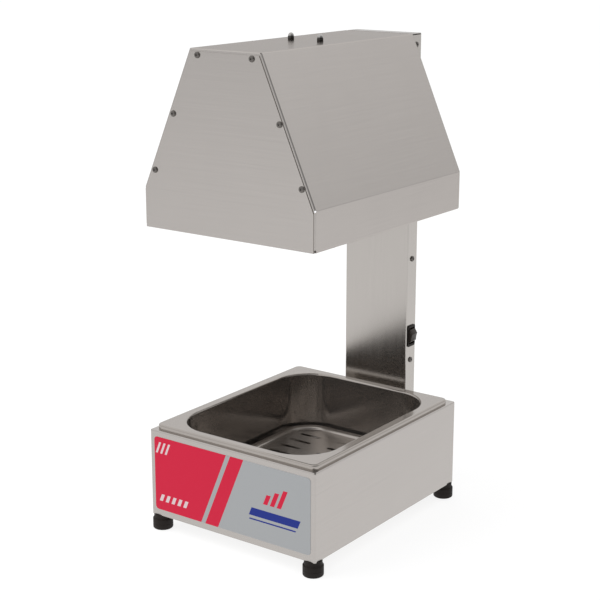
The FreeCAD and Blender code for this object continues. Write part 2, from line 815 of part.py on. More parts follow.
def make_switch_terminals():
    """Two flat blades behind the switch."""
    blades = []
    for side in SIDES:
        z = switch_z + side * blade_pitch / 2
        blades.append(box(blade_tip_x, blade_root_x, column_mid_y - blade_w / 2, column_mid_y + blade_w / 2,
                          z - blade_t / 2, z + blade_t / 2))
    return Part.makeCompound(blades)


def make_gland():
    """Strain-relief bushing through the cover: flange and nose outside, threaded body inside."""
    at = Vec(0, column_back, casing_z + gland_rise)
    body = rod(gland_flange_d / 2, gland_flange_t, at, Y_AXIS)
    nose = Part.makeCone(gland_shoulder_d / 2, gland_nose_d / 2, gland_nose_l - gland_flange_t,
                         at + Y_AXIS * gland_flange_t, Y_AXIS)
    inner = rod(gland_body_d / 2, sheet_t + gland_inner_l, at, -Y_AXIS)
    length = gland_nose_l + sheet_t + gland_inner_l
    bore = rod(gland_bore_d / 2, length, at - Y_AXIS * (sheet_t + gland_inner_l), Y_AXIS)
    return body.fuse([nose, inner]).cut(bore)


def make_gland_nut():
    """Lock nut inside the cover."""
    return nut(gland_nut_af, gland_nut_h, gland_body_d, Vec(0, cover_inner_y, casing_z + gland_rise), -Y_AXIS)


def block_way_x(way):
    """Place across of one way of the terminal block."""
    return (way - (block_ways - 1) / 2) * block_pitch


def block_fix_points():
    """Screws that hold the terminal block to the column's front wall."""
    return [Vec(side * (block_ways * block_pitch + block_fix_head_d) / 2, back_y, block_z) for side in SIDES]


def make_terminal_block():
    """Insulating block with round wire entries above and below, clamp-screw holes and two fixing holes."""
    body = box(-block_w / 2 - block_fix_head_d / 2, block_w / 2 + block_fix_head_d / 2,
               inner_wall_y, inner_wall_y + block_d, block_z - block_h / 2, block_z + block_h / 2)
    entry_y = inner_wall_y + block_d / 2
    holes = []
    for way in range(block_ways):
        x = block_way_x(way)
        for side in SIDES:
            mouth = Vec(x, entry_y, block_z + side * block_h / 2)
            holes.append(rod(block_entry_d / 2, block_entry_depth, mouth, -Z_AXIS * side))
            clamp = Vec(x, inner_wall_y + block_d, block_z + side * block_h * block_clamp_share)
            holes.append(rod(block_screw_d / 2 + running_gap, block_screw_l, clamp, -Y_AXIS))
    for at in block_fix_points():
        holes.append(rod(block_fix_d / 2 + hole_gap, block_d + overrun, at, Y_AXIS))
    return body.cut(holes)


def make_terminal_screws():
    """Clamp screws of the terminal block."""
    screws = []
    for way in range(block_ways):
        for side in SIDES:
            at = Vec(block_way_x(way), inner_wall_y + block_d, block_z + side * block_h * block_clamp_share)
            screws.append(rod(block_screw_d / 2, block_screw_l, at, -Y_AXIS))
    return Part.makeCompound(screws)


def make_block_screws():
    """Two screws through the block into the column's front wall."""
    screws = []
    for at in block_fix_points():
        head_at = at + Y_AXIS * (sheet_t + block_d)
        head = rod(block_fix_head_d / 2, block_fix_head_h, head_at, Y_AXIS)
        screws.append(head.fuse(rod(block_fix_d / 2, block_d + sheet_t, head_at, -Y_AXIS)))
    return Part.makeCompound(screws)


def make_earth_stud():
    """Stud welded to the inside of the column's front wall."""
    return rod(earth_stud_d / 2, earth_stud_l, Vec(-earth_offset, inner_wall_y, earth_z), Y_AXIS)


def make_earth_nut():
    """Nut on the earth stud."""
    return nut(earth_nut_af, earth_nut_h, earth_stud_d, Vec(-earth_offset, inner_wall_y, earth_z), Y_AXIS)


def hood_outline(inset, bottom, side_inset):
    """Hood's section drawn in by one distance on its top and slopes and by another on its skirts."""
    half = hood_w / 2 - side_inset
    knee = hood_knee + (side_inset - inset / math.cos(slope_angle)) / math.tan(slope_angle)
    top = hood_top - inset
    rise = top - hood_knee
    top_half = hood_w / 2 - (inset + rise * math.sin(slope_angle)) / math.cos(slope_angle)
    return [(-half, bottom), (half, bottom), (half, knee), (top_half, top), (-top_half, top), (-half, knee)]


def hood_form(inset, bottom, y0, y1, radius):
    """Hood's section drawn out along Y, its folds rounded and its bottom face square at the ends."""
    body = prism_y(hood_outline(inset, bottom, inset), y0, y1)
    folds = [e for e in body.Edges
             if not (abs(e.CenterOfMass.z - bottom) < match_tol
                     and abs(e.Vertexes[0].Y - e.Vertexes[-1].Y) < match_tol)]
    return body.makeFillet(radius, folds)


def hood_screw_points(top_too):
    """Places of an end panel's screws across and up, along the slopes and under the top."""
    reach = hood_flange_w / 2
    outline = hood_outline(reach, hood_bottom, reach)
    knee_x, knee_z = outline[2]
    top_x, top_z = outline[3]
    places = []
    for sx in SIDES:
        for share in hood_screw_shares:
            places.append((sx * (knee_x + (top_x - knee_x) * share), knee_z + (top_z - knee_z) * share))
        if top_too:
            places.append((sx * (top_x - reach), top_z))
    return places


def make_hood_shell():
    """One folded sheet: top, slopes and skirts, flanges at both ends, lips under the skirts."""
    shell_front = front_y + sheet_t
    shell_rear = back_y - sheet_t
    outer = hood_form(0, hood_bottom, shell_front, shell_rear, hood_bend_r)
    inner = hood_form(sheet_t, hood_bottom + sheet_t, shell_front + sheet_t, shell_rear - sheet_t,
                      hood_bend_r - sheet_t)
    shell = outer.cut(inner)
    ends = prism_y(hood_outline(hood_flange_w, hood_bottom - overrun, hood_flange_w),
                   front_y - overrun, back_y + overrun)
    lip_x = hood_w / 2 - hood_lip_w
    mouth = box(-lip_x, lip_x, front_y - overrun, back_y + overrun,
                hood_bottom - overrun, hood_bottom + sheet_t)
    shell = shell.cut([ends, mouth])

    holes = []
    for sx in SIDES:
        for sy, y in ((-1, shell_front), (1, shell_rear)):
            level = Vec(sx, sy, 0).normalize()
            steep = Vec(sx, sy, 1).normalize()
            knee = Vec(sx * hood_w / 2, y, hood_knee - hood_knee_relief_r / 2)
            top = Vec(sx * hood_top_w / 2, y, hood_top)
            foot = Vec(sx * (hood_w / 2 - hood_knee_relief_r), y - sy * hood_knee_relief_r, hood_bottom)
            holes.append(rod(hood_knee_relief_r, 2 * overrun, knee - level * overrun, level))
            holes.append(rod(hood_top_relief_r, 2 * overrun, top - steep * overrun, steep))
            holes.append(rod(hood_knee_relief_r, 2 * overrun, foot - Z_AXIS * overrun, Z_AXIS))
    screw_r = hood_screw_d / 2 + running_gap
    for x, z in hood_screw_points(True):
        holes.append(rod(screw_r, 2 * overrun, Vec(x, shell_front - overrun, z), Y_AXIS))
    for x, z in hood_screw_points(False):
        holes.append(rod(screw_r, 2 * overrun, Vec(x, shell_rear - overrun, z), Y_AXIS))
    for sx in SIDES:
        holes.append(rod(stud_d / 2 + hole_gap, 2 * overrun,
                         Vec(sx * stud_spacing / 2, stud_y, hood_top - overrun), Z_AXIS))
    return shell.cut(holes)


def make_end_panel(outer_y, inward, screw_places):
    """Flat end panel on the shell's flange, with a lip under its lower edge."""
    y0, y1 = sorted((outer_y, outer_y + inward * sheet_t))
    plate = prism_y(hood_outline(end_panel_inset, hood_bottom, end_panel_side_inset), y0, y1)
    lip_x = hood_w / 2 - hood_flange_w - slide_gap
    l0, l1 = sorted((outer_y, outer_y + inward * hood_lip_w))
    panel = plate.fuse(box(-lip_x, lip_x, l0, l1, hood_bottom, hood_bottom + sheet_t))
    panel = panel.makeFillet(end_panel_edge_r, level_edges_at_y(panel, hood_bottom, outer_y))
    holes = [rod(hood_screw_d / 2 + hole_gap, 2 * overrun, Vec(x, outer_y - overrun, z), Y_AXIS)
             for x, z in screw_places]
    return panel.cut(holes)


def make_hood_screws(outer_y, outward, screw_places):
    """Screws through an end panel into the shell's flange."""
    return Part.makeCompound([dome_screw(hood_screw_head_d, hood_screw_head_h, hood_screw_d, hood_screw_l,
                                         Vec(x, outer_y, z), Y_AXIS * outward) for x, z in screw_places])


def reflector_outline(inset):
    """Reflector's section, side by side with the hood's slopes, drawn in by one distance at its top."""
    top = reflector_top - inset
    spread = math.tan(slope_angle)
    slope_half = hood_w / 2 - (hood_top - reflector_drop - hood_knee) * spread
    top_half = slope_half - (reflector_side_gap + inset) / math.cos(slope_angle) + inset * spread
    low_half = top_half + (top - reflector_bottom) * spread
    return [(-low_half, reflector_bottom), (low_half, reflector_bottom), (top_half, top), (-top_half, top)]


def make_reflector():
    """Bright folded trough with outward lips, holes for the studs, the brackets and the element's ends."""
    outer = prism_y(reflector_outline(0), reflector_front, reflector_rear)
    hollow = reflector_outline(reflector_t)
    inner = prism_y(hollow, reflector_front - overrun, reflector_rear + overrun)
    trough = outer.cut(inner)
    inner_x = hollow[1][0]
    outer_x = reflector_outline(0)[1][0]
    lips = []
    for sx in SIDES:
        x0, x1 = sorted((sx * inner_x, sx * (outer_x + reflector_lip_w)))
        lips.append(box(x0, x1, reflector_front, reflector_rear,
                        reflector_bottom - reflector_t, reflector_bottom))
    trough = trough.fuse(lips)
    deep = 2 * overrun
    low = reflector_top - overrun
    holes = []
    for sx in SIDES:
        holes.append(rod(stud_d / 2 + hole_gap, deep, Vec(sx * stud_spacing / 2, stud_y, low), Z_AXIS))
        holes.append(rod(bushing_thread_d / 2 + hole_gap, deep,
                         Vec(sx * element_pitch / 2, element_rear, low), Z_AXIS))
    for at in bracket_screw_points():
        holes.append(rod(bracket_screw_d / 2 + hole_gap, deep, at - Z_AXIS * overrun, Z_AXIS))
    return trough.cut(holes).removeSplitter()


def make_hanging_set():
    """Two studs through the hood's top with acorn nuts above, spacer tubes between and nuts below."""
    studs = []
    acorns = []
    spacers = []
    nuts = []
    under = reflector_top - reflector_t
    low = under - stud_nut_h - stud_tip
    high = hood_top + acorn_bore_depth - stud_tip
    for sx in SIDES:
        x = sx * stud_spacing / 2
        studs.append(rod(stud_d / 2, high - low, Vec(x, stud_y, low), Z_AXIS))
        body = hexagon(acorn_af, acorn_hex_h)
        dome_r = acorn_af / 2
        dome_z = acorn_h - dome_r
        dome = Part.makeSphere(dome_r, Z_AXIS * dome_z, X_AXIS).fuse(rod(dome_r, dome_z, ORIGIN, Z_AXIS))
        body = body.fuse(dome).cut(rod(stud_d / 2 + running_gap, acorn_bore_depth, ORIGIN, Z_AXIS))
        acorns.append(facing(body, Vec(x, stud_y, hood_top), Z_AXIS))
        spacers.append(ring(spacer_d / 2, stud_d / 2 + hole_gap, hood_top - sheet_t - reflector_top,
                            Vec(x, stud_y, reflector_top), Z_AXIS))
        nuts.append(nut(stud_nut_af, stud_nut_h, stud_d, Vec(x, stud_y, under), -Z_AXIS))
    return [Part.makeCompound(group) for group in (studs, acorns, spacers, nuts)]


def bracket_places():
    """Distances along the hood where the element brackets hang."""
    length = element_rear - element_front
    return [element_front + share * length for share in (bracket_front_share, bracket_rear_share)]


def bracket_screw_points():
    """Screws that hold the brackets under the reflector's top."""
    return [Vec(sx * element_pitch / 2, y + bracket_w / 2, reflector_top)
            for y in bracket_places() for sx in SIDES]


def make_brackets():
    """Angle brackets: a level leaf under the reflector, a hanging leaf with a hole for each leg."""
    brackets = []
    under = reflector_top - reflector_t
    half = bracket_l / 2
    half_pitch = element_pitch / 2
    for y in bracket_places():
        leaf = box(-half, half, y - bracket_t / 2, y + bracket_w, under - bracket_t, under)
        hanging = box(-half, half, y - bracket_t / 2, y + bracket_t / 2,
                      element_z - tube_d / 2 - bracket_below, under)
        holes = [rod(tube_d / 2 + hole_gap, 2 * overrun, Vec(sx * half_pitch, y - overrun, element_z), Y_AXIS)
                 for sx in SIDES]
        brackets.append(leaf.fuse(hanging).cut(holes).removeSplitter())
    screw_holes = [rod(bracket_screw_d / 2 + hole_gap, 2 * overrun, at - Z_AXIS * overrun, Z_AXIS)
                   for at in bracket_screw_points()]
    return Part.makeCompound([b.cut(screw_holes) for b in brackets])


def make_bracket_fixings():
    """Bracket screws from below with nuts on the reflector."""
    screws = []
    nuts = []
    grip = reflector_t + bracket_t
    for at in bracket_screw_points():
        head_at = at - Z_AXIS * grip
        head = rod(bracket_screw_head_d / 2, bracket_screw_head_h, head_at, -Z_AXIS)
        shank = rod(bracket_screw_d / 2, grip + bracket_nut_h + bolt_tip, head_at, Z_AXIS)
        screws.append(head.fuse(shank))
        nuts.append(nut(bracket_nut_af, bracket_nut_h, bracket_screw_d, at, Z_AXIS))
    return Part.makeCompound(screws), Part.makeCompound(nuts)


def make_element():
    """Tubular heater: two long legs joined by a round end, cold ends bent up through the reflector."""
    half = element_pitch / 2
    points = [
        Vec(-half, element_rear, tube_end),
        Vec(-half, element_rear, element_z),
        Vec(-half, element_front, element_z),
        Vec(half, element_front, element_z),
        Vec(half, element_rear, element_z),
        Vec(half, element_rear, tube_end),
    ]
    radii = (element_rise_r, element_turn_r, element_turn_r, element_rise_r)
    return tube_along(points, radii, tube_d)


def make_element_ends():
    """Bushings with nuts that hold the cold ends, ceramic insulators and terminal pins with nuts."""
    bushings = []
    nuts = []
    insulators = []
    pins = []
    under = reflector_top - reflector_t
    for sx in SIDES:
        at = Vec(sx * element_pitch / 2, element_rear, 0)
        flange = facing(hexagon(bushing_flange_af, bushing_flange_t), at + Z_AXIS * under, -Z_AXIS)
        body = flange.fuse(rod(bushing_thread_d / 2, reflector_t + bushing_l, at + Z_AXIS * under, Z_AXIS))
        bore = rod(tube_d / 2 + running_gap, 2 * element_drop, at + Z_AXIS * element_z, Z_AXIS)
        bushings.append(body.cut(bore))
        nuts.append(nut(bushing_flange_af, bushing_nut_h, bushing_thread_d,
                        at + Z_AXIS * reflector_top, Z_AXIS))
        insulators.append(ring(insulator_d / 2, pin_d / 2 + running_gap, insulator_h,
                               at + Z_AXIS * tube_end, Z_AXIS))
        pin = rod(pin_d / 2, pin_l, at + Z_AXIS * tube_end, Z_AXIS)
        pin_nut = facing(hexagon(pin_nut_af, pin_nut_h), at + Z_AXIS * (tube_end + insulator_h), Z_AXIS)
        pins.append(pin.fuse(pin_nut))
    return [Part.makeCompound(group) for group in (bushings, nuts, insulators, pins)]


def make_grommet():
    """Rubber grommet in the aligned holes of the hood's rear panel and the column's front wall."""
    sheets = 2 * sheet_t
    start = Vec(0, back_y - sheet_t, grommet_z)
    lips = [rod(grommet_d / 2, grommet_lip_t, start, -Y_AXIS),
            rod(grommet_d / 2, grommet_lip_t, start + Y_AXIS * sheets, Y_AXIS)]
    neck = rod(grommet_hole_d / 2, sheets, start, Y_AXIS)
    length = sheets + 2 * grommet_lip_t
    bore = rod(grommet_bore_d / 2, length, start - Y_AXIS * grommet_lip_t, Y_AXIS)
    return neck.fuse(lips).cut(bore)


def make_wires():
    """Insulated wires on their real routes inside the column and above the reflector."""
    run_y = inner_wall_y + block_d / 2
    entry_z = block_z + block_h / 2 - block_entry_depth
    lower_blade = switch_z - blade_pitch / 2
    upper_blade = switch_z + blade_pitch / 2
    aside = grommet_bore_d / 2 - wire_d / 2 - wire_gap
    pin_z = tube_end + insulator_h + pin_nut_h + wire_d / 2
    half = element_pitch / 2
    rise_x = blade_tip_x - blade_l
    settle_z = (block_z + switch_z) / 2
    back_off = pin_d / 2 + running_gap
    lead_y = back_y - sheet_t - grommet_d
    wires = {}
    wires["wire_supply_live"] = [
        Vec(block_way_x(2), run_y, entry_z),
        Vec(block_way_x(2), run_y, settle_z),
        Vec(block_way_x(2), column_mid_y, lower_blade),
        Vec(blade_tip_x, column_mid_y, lower_blade),
    ]
    wires["wire_switched_live"] = [
        Vec(blade_tip_x, column_mid_y, upper_blade),
        Vec(rise_x, column_mid_y, upper_blade),
        Vec(aside, column_mid_y, grommet_z),
        Vec(aside, lead_y, grommet_z),
        Vec(half, element_rear + half, pin_z),
        Vec(half, element_rear + back_off, pin_z),
    ]
    wires["wire_neutral"] = [
        Vec(block_way_x(1), run_y, entry_z),
        Vec(block_way_x(1), run_y, settle_z),
        Vec(-rise_x, column_mid_y, switch_z),
        Vec(-aside, column_mid_y, grommet_z),
        Vec(-aside, lead_y, grommet_z),
        Vec(-half, element_rear + half, pin_z),
        Vec(-half, element_rear + back_off, pin_z),
    ]
    nut_side = earth_z - earth_nut_af / math.sqrt(3) - running_gap
    wires["wire_earth"] = [
        Vec(block_way_x(0), run_y, entry_z),
        Vec(block_way_x(0), run_y, (block_z + block_h / 2 + nut_side) / 2),
        Vec(-earth_offset, inner_wall_y + earth_nut_h / 2 + running_gap, nut_side - wire_gap),
    ]
    return {name: wire_tube(points) for name, points in wires.items()}


def main():
    """Build and write every piece."""
    export("base_casing", make_casing())
    for name, at in foot_centres():
        export(name, make_foot(at))
    foot_screws, foot_washers, foot_nuts = make_foot_fixings()
    export("foot_screws", foot_screws)
    export("foot_washers", foot_washers)
    export("foot_nuts", foot_nuts)
    export("front_label", make_label())
    export("pan", make_pan())
    export("drain_plate", make_drain_plate())

    export("column_channel", make_column_channel())
    export("column_cover", make_column_cover())
    export("column_screws", make_column_screws())
    casing_bolts, casing_bolt_nuts = make_bolts_and_nuts(casing_bolt_points(), 1)
    export("casing_bolts", casing_bolts)
    export("casing_bolt_nuts", casing_bolt_nuts)
    hood_bolts, hood_bolt_nuts = make_bolts_and_nuts(hood_bolt_points(), 1)
    export("hood_bolts", hood_bolts)
    export("hood_bolt_nuts", hood_bolt_nuts)

    export("switch_body", make_switch_body())
    export("switch_rocker", make_rocker())
    export("switch_terminals", make_switch_terminals())
    export("cord_gland", make_gland())
    export("gland_nut", make_gland_nut())
    export("terminal_block", make_terminal_block())
    export("terminal_screws", make_terminal_screws())
    export("block_screws", make_block_screws())
    export("earth_stud", make_earth_stud())
    export("earth_nut", make_earth_nut())

    export("hood_shell", make_hood_shell())
    front_places = hood_screw_points(True)
    rear_places = hood_screw_points(False)
    export("hood_front_panel", make_end_panel(front_y, 1, front_places))
    rear_panel = make_end_panel(back_y, -1, rear_places)
    rear_holes = [rod(bolt_d / 2 + hole_gap, 2 * overrun, at - Y_AXIS * overrun, Y_AXIS)
                  for at in hood_bolt_points()]
    rear_holes.append(rod(grommet_hole_d / 2, 2 * overrun, Vec(0, back_y - overrun, grommet_z), Y_AXIS))
    export("hood_rear_panel", rear_panel.cut(rear_holes))
    export("hood_front_screws", make_hood_screws(front_y, -1, front_places))
    export("hood_rear_screws", make_hood_screws(back_y, 1, rear_places))

    export("reflector", make_reflector())
    studs, acorns, spacers, stud_nuts = make_hanging_set()
    export("reflector_studs", studs)
    export("acorn_nuts", acorns)
    export("spacer_tubes", spacers)
    export("stud_nuts", stud_nuts)
    export("heating_element", make_element())
    export("element_brackets", make_brackets())
    bracket_screws, bracket_nuts = make_bracket_fixings()
    export("bracket_screws", bracket_screws)
    export("bracket_nuts", bracket_nuts)
    bushings, bushing_nuts, insulators, pins = make_element_ends()
    export("element_bushings", bushings)
    export("bushing_nuts", bushing_nuts)
    export("element_insulators", insulators)
    export("element_pins", pins)
    export("wire_grommet", make_grommet())
    for name, shape in make_wires().items():
        export(name, shape)


main()
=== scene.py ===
import functools
import logging
import math
from abc import ABC, abstractmethod
from collections.abc import Callable, Iterable
from dataclasses import dataclass
from enum import Enum, IntEnum

import bmesh
import bpy
from mathutils import Matrix, Vector


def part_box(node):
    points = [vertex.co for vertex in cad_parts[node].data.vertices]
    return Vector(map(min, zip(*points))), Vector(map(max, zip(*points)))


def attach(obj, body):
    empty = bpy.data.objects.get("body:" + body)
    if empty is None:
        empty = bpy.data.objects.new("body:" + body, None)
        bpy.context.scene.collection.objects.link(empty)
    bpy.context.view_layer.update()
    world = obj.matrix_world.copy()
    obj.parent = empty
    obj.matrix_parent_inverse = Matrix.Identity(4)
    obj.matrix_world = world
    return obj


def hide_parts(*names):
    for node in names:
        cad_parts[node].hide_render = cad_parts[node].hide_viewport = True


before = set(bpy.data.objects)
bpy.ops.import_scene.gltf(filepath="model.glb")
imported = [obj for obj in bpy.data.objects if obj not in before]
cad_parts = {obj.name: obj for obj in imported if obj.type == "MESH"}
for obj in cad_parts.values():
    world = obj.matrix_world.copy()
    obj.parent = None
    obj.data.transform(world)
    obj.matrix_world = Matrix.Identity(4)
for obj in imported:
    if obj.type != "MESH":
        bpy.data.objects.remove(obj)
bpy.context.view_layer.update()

LOG = logging.getLogger("chip_warmer")
MM = 0.001
X_AXIS = Vector((1, 0, 0))
Y_AXIS = Vector((0, 1, 0))
Z_AXIS = Vector((0, 0, 1))
SHARP_ANGLE = math.radians(32)
MERGE_DISTANCE = 1e-6
TOUCH = 0.02 * MM
ORDER_DIGITS = 5

Pair = tuple[float, float]
Triple = tuple[float, float, float]
Tone = Triple
Span = tuple[Vector, Vector]
Shape = bmesh.types.BMesh
Socket = bpy.types.NodeSocket

WHITE: Tone = (1.0, 1.0, 1.0)


def as_rgba(tone: Tone) -> tuple[float, float, float, float]:
    """Opaque colour for a shader socket."""
    return (*tone, 1.0)


def shaded(tone: Tone, share: float) -> Tone:
    """Tone with each channel multiplied by one share."""
    return tuple(channel * share for channel in tone)


class ShaderBoard:
    """Writes the nodes of one material or world."""

    MIX_FACTOR, MIX_FIRST, MIX_SECOND, MIX_OUT = 0, 6, 7, 2
    FINER_SHARE = 0.55
    HALF = 0.5

    def __init__(self, owner: bpy.types.Material | bpy.types.World) -> None:
        """Empties the owner's nodes.

        Args:
            owner: The material or world.
        """
        self.owner = owner
        owner.use_nodes = True
        self.tree = owner.node_tree
        self.tree.nodes.clear()

    @classmethod
    def of_finish(cls, name: str) -> "ShaderBoard":
        """Board of a new material."""
        return cls(bpy.data.materials.new(name))

    def node(self, kind: str, inputs: dict | None = None, **settings: str) -> bpy.types.Node:
        """Adds one node.

        Args:
            kind: Blender's name of the node type.
            inputs: Socket name or number to a value, or to another node's output.
            settings: Properties of the node itself.

        Returns:
            The new node.
        """
        made = self.tree.nodes.new(kind)
        for key, value in settings.items():
            setattr(made, key, value)
        for key, value in (inputs or {}).items():
            if isinstance(value, Socket):
                self.tree.links.new(value, made.inputs[key])
            else:
                made.inputs[key].default_value = value
        return made

    def place(self, scale: Iterable[float], turn: Iterable[float] = (0, 0, 0)) -> Socket:
        """Object coordinates, stretched and turned for a pattern.

        Args:
            scale: Pattern cycles per metre along each axis.
            turn: Turn about each axis, in radians.

        Returns:
            The vector output.
        """
        coords = self.node("ShaderNodeTexCoord").outputs["Object"]
        inputs = {"Vector": coords, "Scale": tuple(scale), "Rotation": tuple(turn)}
        return self.node("ShaderNodeMapping", inputs).outputs["Vector"]

    def noise(self, where: Socket, detail: float) -> Socket:
        """Cloudy pattern from 0 to 1 at a place, with a number of finer layers."""
        inputs = {"Vector": where, "Scale": 1.0, "Detail": detail, "Roughness": self.FINER_SHARE}
        return self.node("ShaderNodeTexNoise", inputs).outputs["Fac"]

    def span(self, value: Socket, low: float, high: float,
             start: float = 0.3, end: float = 0.7) -> Socket:
        """Maps a pattern so that start and less give low, and end and more give high."""
        inputs = {"Value": value, "From Min": start, "From Max": end, "To Min": low, "To Max": high}
        return self.node("ShaderNodeMapRange", inputs).outputs["Result"]

    def math(self, operation: str, *values: Socket | float) -> Socket:
        """One sum of two or three values or outputs."""
        return self.node("ShaderNodeMath", dict(enumerate(values)), operation=operation).outputs[0]

    def ramp(self, value: Socket, stops: Iterable[Pair]) -> Socket:
        """Maps a value from -1 to 1 onto a line through several stops.

        Args:
            value: The value.
            stops: Value and result of each stop, in rising order.

        Returns:
            The mapped value.
        """
        halved = self.math("MULTIPLY_ADD", value, self.HALF, self.HALF)
        line = self.node("ShaderNodeValToRGB", {"Fac": halved})
        marks = line.color_ramp.elements
        while len(marks) > 1:
            marks.remove(marks[0])
        for count, (at, result) in enumerate(stops):
            place = (at + 1) / 2
            mark = marks[0] if count == 0 else marks.new(place)
            mark.position = place
            mark.color = as_rgba((result, result, result))
        return line.outputs["Color"]

    def blend(self, factor: Socket, first: Socket | Tone, second: Tone) -> Socket:
        """Mixes two colours.

        Args:
            factor: Share of the second colour.
            first: First colour or output.
            second: Second colour.

        Returns:
            The mixed colour.
        """
        start = as_rgba(first) if isinstance(first, tuple) else first
        inputs = {self.MIX_FACTOR: factor, self.MIX_FIRST: start, self.MIX_SECOND: as_rgba(second)}
        return self.node("ShaderNodeMix", inputs, data_type="RGBA").outputs[self.MIX_OUT]

    def bump(self, height: Socket, depth: float, strength: float = 1.0,
             under: Socket | None = None) -> Socket:
        """Surface normal of a height pattern.

        Args:
            height: The pattern.
            depth: Height in metres for a step from 0 to 1.
            strength: Share of the effect.
            under: A normal that this one lies on.

        Returns:
            The normal output.
        """
        inputs = {"Height": height, "Distance": depth, "Strength": strength}
        if under is not None:
            inputs["Normal"] = under
        return self.node("ShaderNodeBump", inputs).outputs["Normal"]

    def surface(self, **inputs: Socket | float | tuple) -> bpy.types.Material:
        """Ends the material in one Principled shader.

        Args:
            inputs: Socket names, with underscores for spaces, to values or outputs.

        Returns:
            The finished material.
        """
        named = {key.replace("_", " "): value for key, value in inputs.items()}
        shader = self.node("ShaderNodeBsdfPrincipled", named)
        self.node("ShaderNodeOutputMaterial", {"Surface": shader.outputs["BSDF"]})
        return self.owner


class Grain(Enum):
    """Which way the brushed lines run: cycles per metre along X, Y and Z."""

    ALONG_X = (9.0, 1500.0, 1500.0)
    ALONG_Y = (1500.0, 9.0, 1500.0)
    ALONG_Z = (1500.0, 1500.0, 9.0)
    ROUND_WALLS = (9.0, 9.0, 1500.0)


@dataclass(frozen=True)
class Finish(ABC):
    """One surface finish; each kind says how its nodes are joined."""

    name: str
    tone: Tone
    roughness: float

    FEW, SOME, MANY = 2.0, 3.0, 4.0

    @functools.cache
    def material(self) -> bpy.types.Material:
        """Builds the finish once."""
        return self.shade(ShaderBoard.of_finish(self.name))

    @abstractmethod
    def shade(self, board: ShaderBoard) -> bpy.types.Material:
        """Joins the finish's nodes on an empty board into its material."""

    def even(self, board: ShaderBoard, cycles: float, layers: float) -> Socket:
        """Pattern that is alike in all directions, with so many cycles per metre."""
        return board.noise(board.place((cycles,) * 3), layers)


@dataclass(frozen=True)
class SheetSteel(Finish):
    """Satin sheet steel: fine brushed lines, faint clouds, wiping marks and hairline scratches."""

    grain: Grain
    grain_depth: float = 0.001 * MM
    grain_tone: float = 0.02
    cloud_tone: float = 0.008
    cloud_scale: float = 7.0
    wipe_scale: float = 22.0
    wipe_stretch: float = 3.0
    coarse_share: float = 0.3
    hair_share: float = 0.6
    hair_base: float = 3.0
    hair_layers: float = 1.0
    hair_band: Pair = (0.715, 0.745)
    scratch_turn: float = 0.5
    scratch_turn_z: float = 0.2
    scratch_tone: float = 0.012
    scratch_strength: float = 0.5
    line_rough: Pair = (-0.01, 0.01)
    wipe_rough: Pair = (-0.012, 0.015)
    edge_tint: Tone = WHITE
    metallic: float = 1.0

    def shade(self, board: ShaderBoard) -> bpy.types.Material:
        """Joins the nodes of the sheet steel.

        Args:
            board: The finish's empty board.

        Returns:
            The material.
        """
        grain = self.grain.value
        fine = board.noise(board.place(grain), self.FEW)
        coarse = board.noise(board.place([axis * self.coarse_share for axis in grain]), self.FEW)
        cloud = self.even(board, self.cloud_scale, self.SOME)
        wipe_scale = (self.wipe_scale, self.wipe_scale, self.wipe_scale / self.wipe_stretch)
        wipe = board.noise(board.place(wipe_scale), self.MANY)
        hair_scale = [axis * self.hair_share + self.hair_base for axis in grain]
        hair_turn = (self.scratch_turn, self.scratch_turn, self.scratch_turn_z)
        hair = board.noise(board.place(hair_scale, hair_turn), self.hair_layers)
        scratch = board.span(hair, 0.0, 1.0, *self.hair_band)

        lines = board.span(fine, 1 - self.grain_tone, 1 + self.grain_tone)
        bands = board.span(coarse, 1 - self.grain_tone / 2, 1 + self.grain_tone / 2)
        clouds = board.span(cloud, 1 - self.cloud_tone, 1 + self.cloud_tone)
        share = board.math("MULTIPLY", board.math("MULTIPLY", lines, bands), clouds)
        marked = board.math("MULTIPLY_ADD", scratch, self.scratch_tone, 1.0)
        share = board.math("MULTIPLY", share, marked)
        inputs = {0: self.tone, "Scale": share}
        tone = board.node("ShaderNodeVectorMath", inputs, operation="SCALE").outputs[0]

        rough = board.math("ADD", board.span(coarse, *self.line_rough), self.roughness)
        rough = board.math("ADD", board.span(wipe, *self.wipe_rough), rough)
        normal = board.bump(fine, self.grain_depth)
        normal = board.bump(scratch, -self.grain_depth, self.scratch_strength, normal)
        return board.surface(Base_Color=tone, Metallic=self.metallic, Roughness=rough, Normal=normal,
                             Specular_Tint=as_rgba(self.edge_tint))


@dataclass(frozen=True)
class PlatedMetal(Finish):
    """Turned or plated metal: fine cloudiness, worn patches and small pits."""

    mottle_scale: float = 320.0
    mottle_tone: float = 0.1
    wear_share: float = 0.25
    pit_share: float = 0.35
    pit_tone: float = 0.8
    pit_depth: float = 0.02 * MM
    pit_strength: float = 0.4
    rough_span: Pair = (-0.04, 0.06)
    metallic: float = 1.0

    def shade(self, board: ShaderBoard) -> bpy.types.Material:
        """Joins the nodes of the metal.

        Args:
            board: The finish's empty board.

        Returns:
            The material.
        """
        mottle = self.even(board, self.mottle_scale, self.MANY)
        wear = self.even(board, self.mottle_scale * self.wear_share, self.FEW)
        dark, light = shaded(self.tone, 1 - self.mottle_tone), shaded(self.tone, 1 + self.mottle_tone)
        tone = board.blend(board.span(wear, 0.0, 1.0), dark, light)
        tone = board.blend(board.span(mottle, 0.0, self.pit_share), tone, shaded(self.tone, self.pit_tone))
        rough = board.math("ADD", board.span(mottle, *self.rough_span), self.roughness)
        normal = board.bump(mottle, self.pit_depth, self.pit_strength)
        return board.surface(Base_Color=tone, Metallic=self.metallic, Roughness=rough, Normal=normal)


